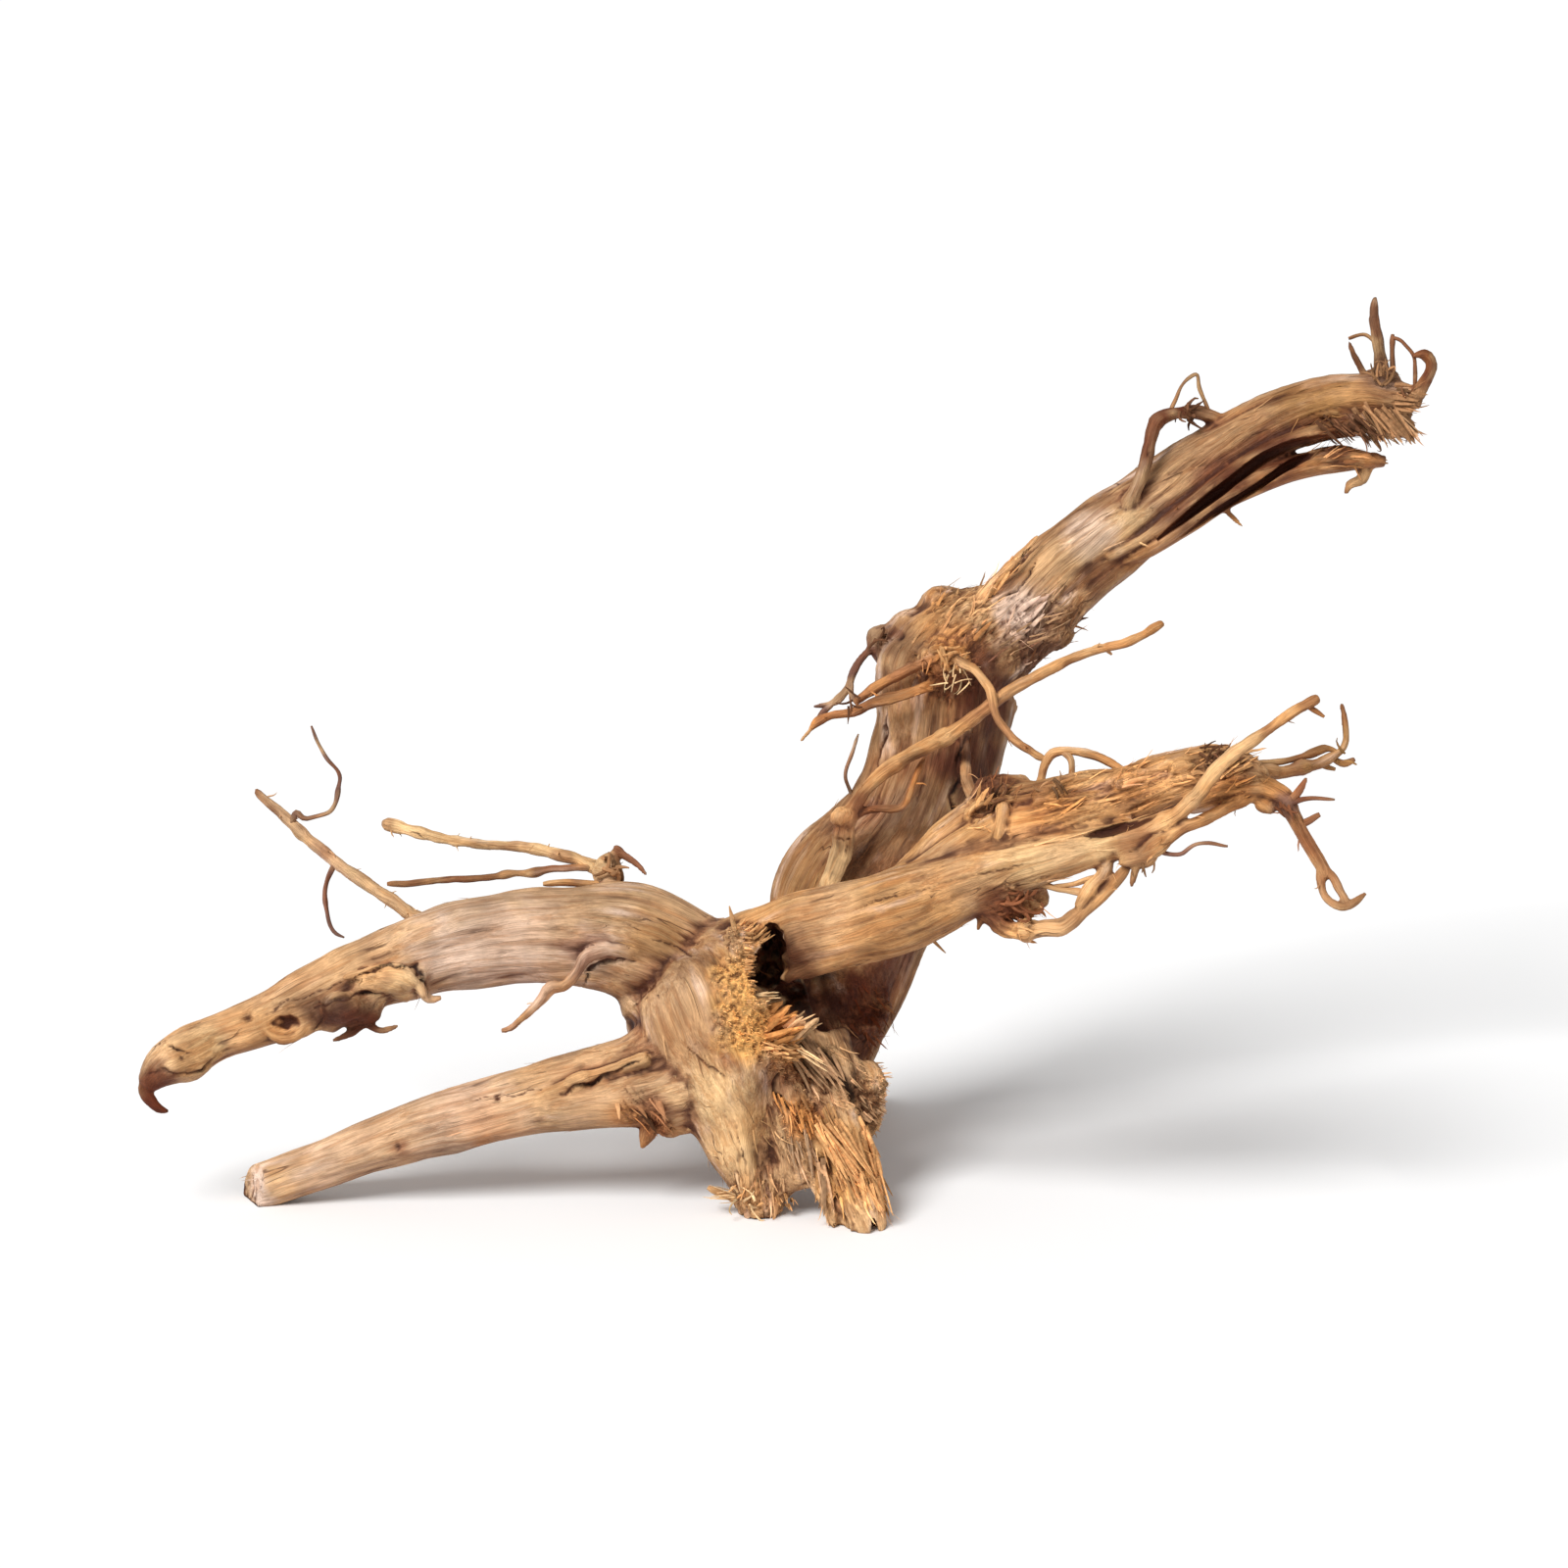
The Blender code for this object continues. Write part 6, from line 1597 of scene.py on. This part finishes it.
def loose_piece(name, parts):
    """One piece of many shapes, each with its own colour and shade, flattened where it meets the ground."""
    made = mesh_object(name, [shape for shape, colour, shade in parts])
    points = arrays_of(made)[0]
    points[:, 2] = np.maximum(points[:, 2], 0)
    put_points(made, points)
    counts = [len(shape_points) for (shape_points, faces), colour, shade in parts]
    colours = np.repeat([colour for shape, colour, shade in parts], counts, axis=0)
    store(made, "wood_colour", "FLOAT_COLOR", np.clip(colours, 0, 1))
    store(made, "own_shade", "FLOAT", np.repeat([shade for shape, colour, shade in parts], counts))
    return made


def broken_sticks(name, bundles, dice):
    """The jagged ends of torn wood: sticks of fibre side by side, each with its own colour."""
    parts = []
    for (start, end), pull, count, (length, width, spread), tone in bundles.values():
        way = towards(*pull).normalized()
        side = way.orthogonal().normalized()
        other = way.cross(side)
        first, last = placed(*start), placed(*end)
        for number in range(count):
            spot = first.lerp(last, dice.random())
            angle, far = dice.uniform(0, 2 * math.pi), math.sqrt(dice.random()) * spread * MM
            spot = spot + (side * math.cos(angle) + other * math.sin(angle)) * far
            long = length * dice.uniform(0.45, 1.15) * MM
            wide = width * dice.uniform(0.5, 1.3) / 2 * MM
            lean = (way + Vector([dice.uniform(-1, 1) for axis in range(3)]) * 0.2).normalized()
            if lean.z < 0:
                long = min(long, (spot.z - GROUND_GAP) / -lean.z)
            if long < MM or not in_box(spot + lean * long):
                continue
            shape = stick(spot - lean * long * 0.6, lean, long * 1.6, wide, dice)
            parts.append((shape, linear(tone) * (0.6 + 0.6 * dice.random()), dice.random()))
    return loose_piece(name, parts)


def snarl_line(centre, reach, length, width, flow, dice):
    """One curled rootlet that wanders over the face of a knot, along the flow if there is one, and tapers."""
    way = strays(dice, 1).normalized()
    if way.dot(EYE_LINE) > 0.3:
        way = -way
    place = centre + way * reach * MM * dice.uniform(0.35, 0.8)
    head = strays(dice, 1).normalized()
    head = (head - way * head.dot(way) * 0.7).normalized()
    for drawn_way in flow:
        run = towards(*drawn_way)
        head = (run * 2.5 + head).normalized()
        place = place - run * length * 0.45 * MM
    rows = max(6, round(length * dice.uniform(0.6, 1.2) / CURL_STEP))
    spin = strays(dice, 1).normalized()
    middle, radius = [], []
    for row in range(rows):
        t = row / (rows - 1)
        middle.append(place[:])
        radius.append(width / 2 * MM * (1 - 0.7 * t * t) * dice.uniform(0.8, 1.2))
        spin = (spin + strays(dice, 0.35)).normalized()
        away = (place - centre) / (reach * MM)
        pull = -away * 0.7 * max(0.0, away.length - 0.7)
        head = (head + spin.cross(head) * 0.24 + pull).normalized()
        place = place + head * CURL_STEP * MM
    return plain_line(np.array(middle), np.array(radius), np.array(EYE_LINE) + 0.02)


def snarls(name, places, dice):
    """Curled rootlets that wind round the knots, apart from those that would leave the box."""
    parts = []
    for spot, reach, count, (length, width), tone, *flow in places.values():
        for number in range(count):
            line = snarl_line(placed(*spot), reach, length, width, flow, dice)
            if all(in_box(place) for place in line["place"]):
                shape = tube(line, CURL_SIDES)
                parts.append((shape, linear(tone) * dice.uniform(0.55, 1.25), dice.random()))
    return loose_piece(name, parts)


# Loose wood strewn over the skin.
def strewing_tree():
    """Geometry Nodes: strews shapes over a surface, along a direction kept on it, and makes them real."""
    tree = bpy.data.node_groups.new("strew", "GeometryNodeTree")
    tree.interface.new_socket("Geometry", in_out="OUTPUT", socket_type="NodeSocketGeometry")
    sockets = {
        "Geometry": "Geometry", "Shapes": "Collection", "Where": "String", "Way": "String", "Seed": "Int",
        "Finish": "Material",
    }
    sockets |= dict.fromkeys(("Density", "Smallest", "Largest", "Lift", "Spread", "Sink"), "Float")
    for name, kind in sockets.items():
        tree.interface.new_socket(name, in_out="INPUT", socket_type=f"NodeSocket{kind}")
    given = add(tree, "NodeGroupInput").outputs

    def found(name, kind):
        """An attribute of the surface, by the name that the tree was given."""
        inputs = {"Name": given[name]}
        return add(tree, "GeometryNodeInputNamedAttribute", inputs, data_type=kind).outputs["Attribute"]

    def lot(kind, output, ranges):
        """A random value for each spot."""
        inputs = ranges | {"Seed": given["Seed"]}
        return add(tree, "FunctionNodeRandomValue", inputs, data_type=kind).outputs[output]

    crowd = times(tree, found("Where", "FLOAT"), given["Density"])
    surface = {"Mesh": given["Geometry"], "Density": crowd, "Seed": given["Seed"]}
    spots = add(tree, "GeometryNodeDistributePointsOnFaces", surface).outputs
    normal = spots["Normal"]
    stray = lot("FLOAT_VECTOR", 0, {0: (-1, -1, -1), 1: (1, 1, 1)})
    lifted = vectors(tree, "SCALE", normal, given["Lift"])
    heading = vectors(tree, "ADD", found("Way", "FLOAT_VECTOR"), lifted)
    heading = vectors(tree, "ADD", heading, vectors(tree, "SCALE", stray, given["Spread"]))
    turned = add(tree, "FunctionNodeAlignRotationToVector", {"Vector": heading}, axis="Z").outputs[0]
    turned = {"Rotation": turned, "Vector": normal}
    turned = add(tree, "FunctionNodeAlignRotationToVector", turned, axis="Y", pivot_axis="Z").outputs[0]
    size = lot("FLOAT", 1, {2: given["Smallest"], 3: given["Largest"]})
    sunk = vectors(tree, "SCALE", normal, times(tree, given["Sink"], -1.0))
    lowered = add(tree, "GeometryNodeSetPosition", {"Geometry": spots["Points"], "Offset": sunk}).outputs[0]
    shade = {"Geometry": lowered, "Name": "own_shade", "Value": lot("FLOAT", 1, {})}
    marked = add(tree, "GeometryNodeStoreNamedAttribute", shade, data_type="FLOAT").outputs[0]
    shapes = {"Collection": given["Shapes"], "Separate Children": True, "Reset Children": True}
    shapes = add(tree, "GeometryNodeCollectionInfo", shapes).outputs[0]
    laid = {"Points": marked, "Instance": shapes, "Pick Instance": True, "Rotation": turned, "Scale": size}
    laid = add(tree, "GeometryNodeInstanceOnPoints", laid).outputs[0]
    real = add(tree, "GeometryNodeRealizeInstances", {"Geometry": laid}).outputs[0]
    done = add(tree, "GeometryNodeSetMaterial", {"Geometry": real, "Material": given["Finish"]}).outputs[0]
    add(tree, "NodeGroupOutput", {"Geometry": done})
    return tree


def strew(name, tree, surface, shapes, inputs):
    """A new piece of loose wood: the shapes strewn over the surface object by the tree, with its inputs."""
    group = bpy.data.collections.new(name + "_shapes")
    for shape in shapes:
        bpy.context.scene.collection.objects.unlink(shape)
        group.objects.link(shape)
    made = new_object(name, surface.data.copy())
    nodes = made.modifiers.new("strew", "NODES")
    nodes.node_group = tree
    sockets = {item.name: item.identifier for item in tree.interface.items_tree if item.in_out == "INPUT"}
    for key, value in {"Shapes": group, **inputs}.items():
        nodes[sockets[key]] = value
    settle(made)
    for shape in shapes:
        bpy.data.objects.remove(shape)
    bpy.data.collections.remove(group)
    keep_in_box(made)
    return made


def lower_to_root(piece, material):
    """Finishes a piece: gives it its material, hangs it on the root body and hides the CAD part that it
    stands in for.
    """
    piece.data.materials.clear()
    piece.data.materials.append(material)
    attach(piece, "root")
    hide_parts("bogwood_root")


# What stands round the root.
def lay_floor():
    """A plain pale floor."""
    half = FLOOR_HALF
    mesh = bpy.data.meshes.new("floor")
    corners = [(-half, -half, 0), (half, -half, 0), (half, half, 0), (-half, half, 0)]
    mesh.from_pydata(corners, [], [(0, 1, 2, 3)])
    floor = new_object("floor", mesh)
    paper = bpy.data.materials.new("white_floor")
    paper.use_nodes = True
    paper.node_tree.nodes["Principled BSDF"].inputs["Base Color"].default_value = FLOOR_COLOUR
    paper.node_tree.nodes["Principled BSDF"].inputs["Roughness"].default_value = FLOOR_ROUGHNESS
    mesh.materials.append(paper)


def light_up():
    """Soft daylight from all sides and a soft sun from the front and the upper left."""
    world = bpy.data.worlds.new("soft_daylight")
    world.use_nodes = True
    world.node_tree.nodes["Background"].inputs["Color"].default_value = (1, 1, 1, 1)
    world.node_tree.nodes["Background"].inputs["Strength"].default_value = WORLD_LIGHT
    bpy.context.scene.world = world
    bpy.context.scene.view_settings.view_transform = "Standard"
    sun = bpy.data.lights.new("daylight", "SUN")
    sun.energy = SUN_LIGHT
    sun.angle = math.radians(SUN_SOFTNESS)
    holder = new_object("daylight", sun)
    holder.rotation_mode = "QUATERNION"
    holder.rotation_quaternion = (-Vector(SUN_FROM)).to_track_quat("-Z", "Y")


def open_eye():
    """A camera that sees what the photograph shows."""
    eye = bpy.data.cameras.new("eye")
    eye.sensor_width = SENSOR
    eye.lens = SENSOR * EYE_DISTANCE * MM / PICTURE_WIDTH
    eye.clip_end = SIGHT_END
    camera = new_object("eye", eye)
    camera.location = -ORIGIN - EYE_LINE * EYE_DISTANCE * MM
    camera.rotation_mode = "QUATERNION"
    camera.rotation_quaternion = EYE_LINE.to_track_quat("-Z", "Y")
    bpy.context.scene.camera = camera


# The root itself.
LIMB_LINES = [strand(name, route, LIMB_STEP, thickness) for name, (thickness, flute, route) in LIMBS.items()]
LIMB_LINES.append(strand("rear_leg", REAR_LEG[2], LIMB_STEP, REAR_LEG[0], facing=Vector((1, 0, 0))))
FLUTES = [flute for thickness, flute, route in LIMBS.values()] + [REAR_LEG[1]]
ROOT_LINES, HAIR_LINES = [], []
for name, route in (ROOTLETS | EXTRA_ROOTS).items():
    if max(p[3] for p in route) > FUSED_WIDTH:
        ROOT_LINES.append(strand(name, route, ROOT_STEP, wander=ROOT_WANDER))
    else:
        HAIR_LINES.append(strand(name, route, HAIR_STEP, wander=HAIR_WANDER))
STRIP_LINES = [strand(name, route, ROOT_STEP, thickness) for name, (thickness, route) in STRIPS.items()]
LINES = LIMB_LINES + ROOT_LINES + STRIP_LINES

root_wood = shape_wood()
dress(root_wood, LINES)
hair_roots = mesh_object("hair_roots", [tube(line, HAIR_SIDES, phase=line["number"]) for line in HAIR_LINES])
hair_roots.modifiers.new("split", "TRIANGULATE")
settle(hair_roots)
dress(hair_roots, HAIR_LINES)
for skin in (root_wood, hair_roots):
    smooth_faces(skin)

# The loose wood on it.
wood = weathered_wood()
loose = {name: loose_wood(name, *look) for name, look in LOOSE_FINISHES.items()}
dice = random.Random(SEED)
tree = strewing_tree()
PIECES = {
    root_wood: wood,
    hair_roots: wood,
    broken_sticks("broken_sticks", BUNDLES, dice): loose["stick_wood"],
    snarls("curled_roots", SNARLS, dice): loose["strand_wood"],
}
crumbs = [crumb(f"crumb_{k}", dice.uniform(*CRUMB_WIDTHS), dice) for k in range(CRUMB_COUNT)]
finish = loose["torn_wood"]
PIECES[strew("wood_crumbs", tree, root_wood, crumbs, USUAL_SIZES | CRUMBS | {"Finish": finish})] = finish
for name, ((count, length, width, *form), finish_name, inputs) in SLIVERS.items():
    shapes = [
        sliver(f"{name}_{k}", dice.uniform(*length), dice.uniform(*width), *form, dice) for k in range(count)
    ]
    finish = loose[finish_name]
    PIECES[strew(name, tree, root_wood, shapes, USUAL_SIZES | inputs | {"Finish": finish})] = finish
for piece, material in PIECES.items():
    lower_to_root(piece, material)

lay_floor()
light_up()
open_eye()
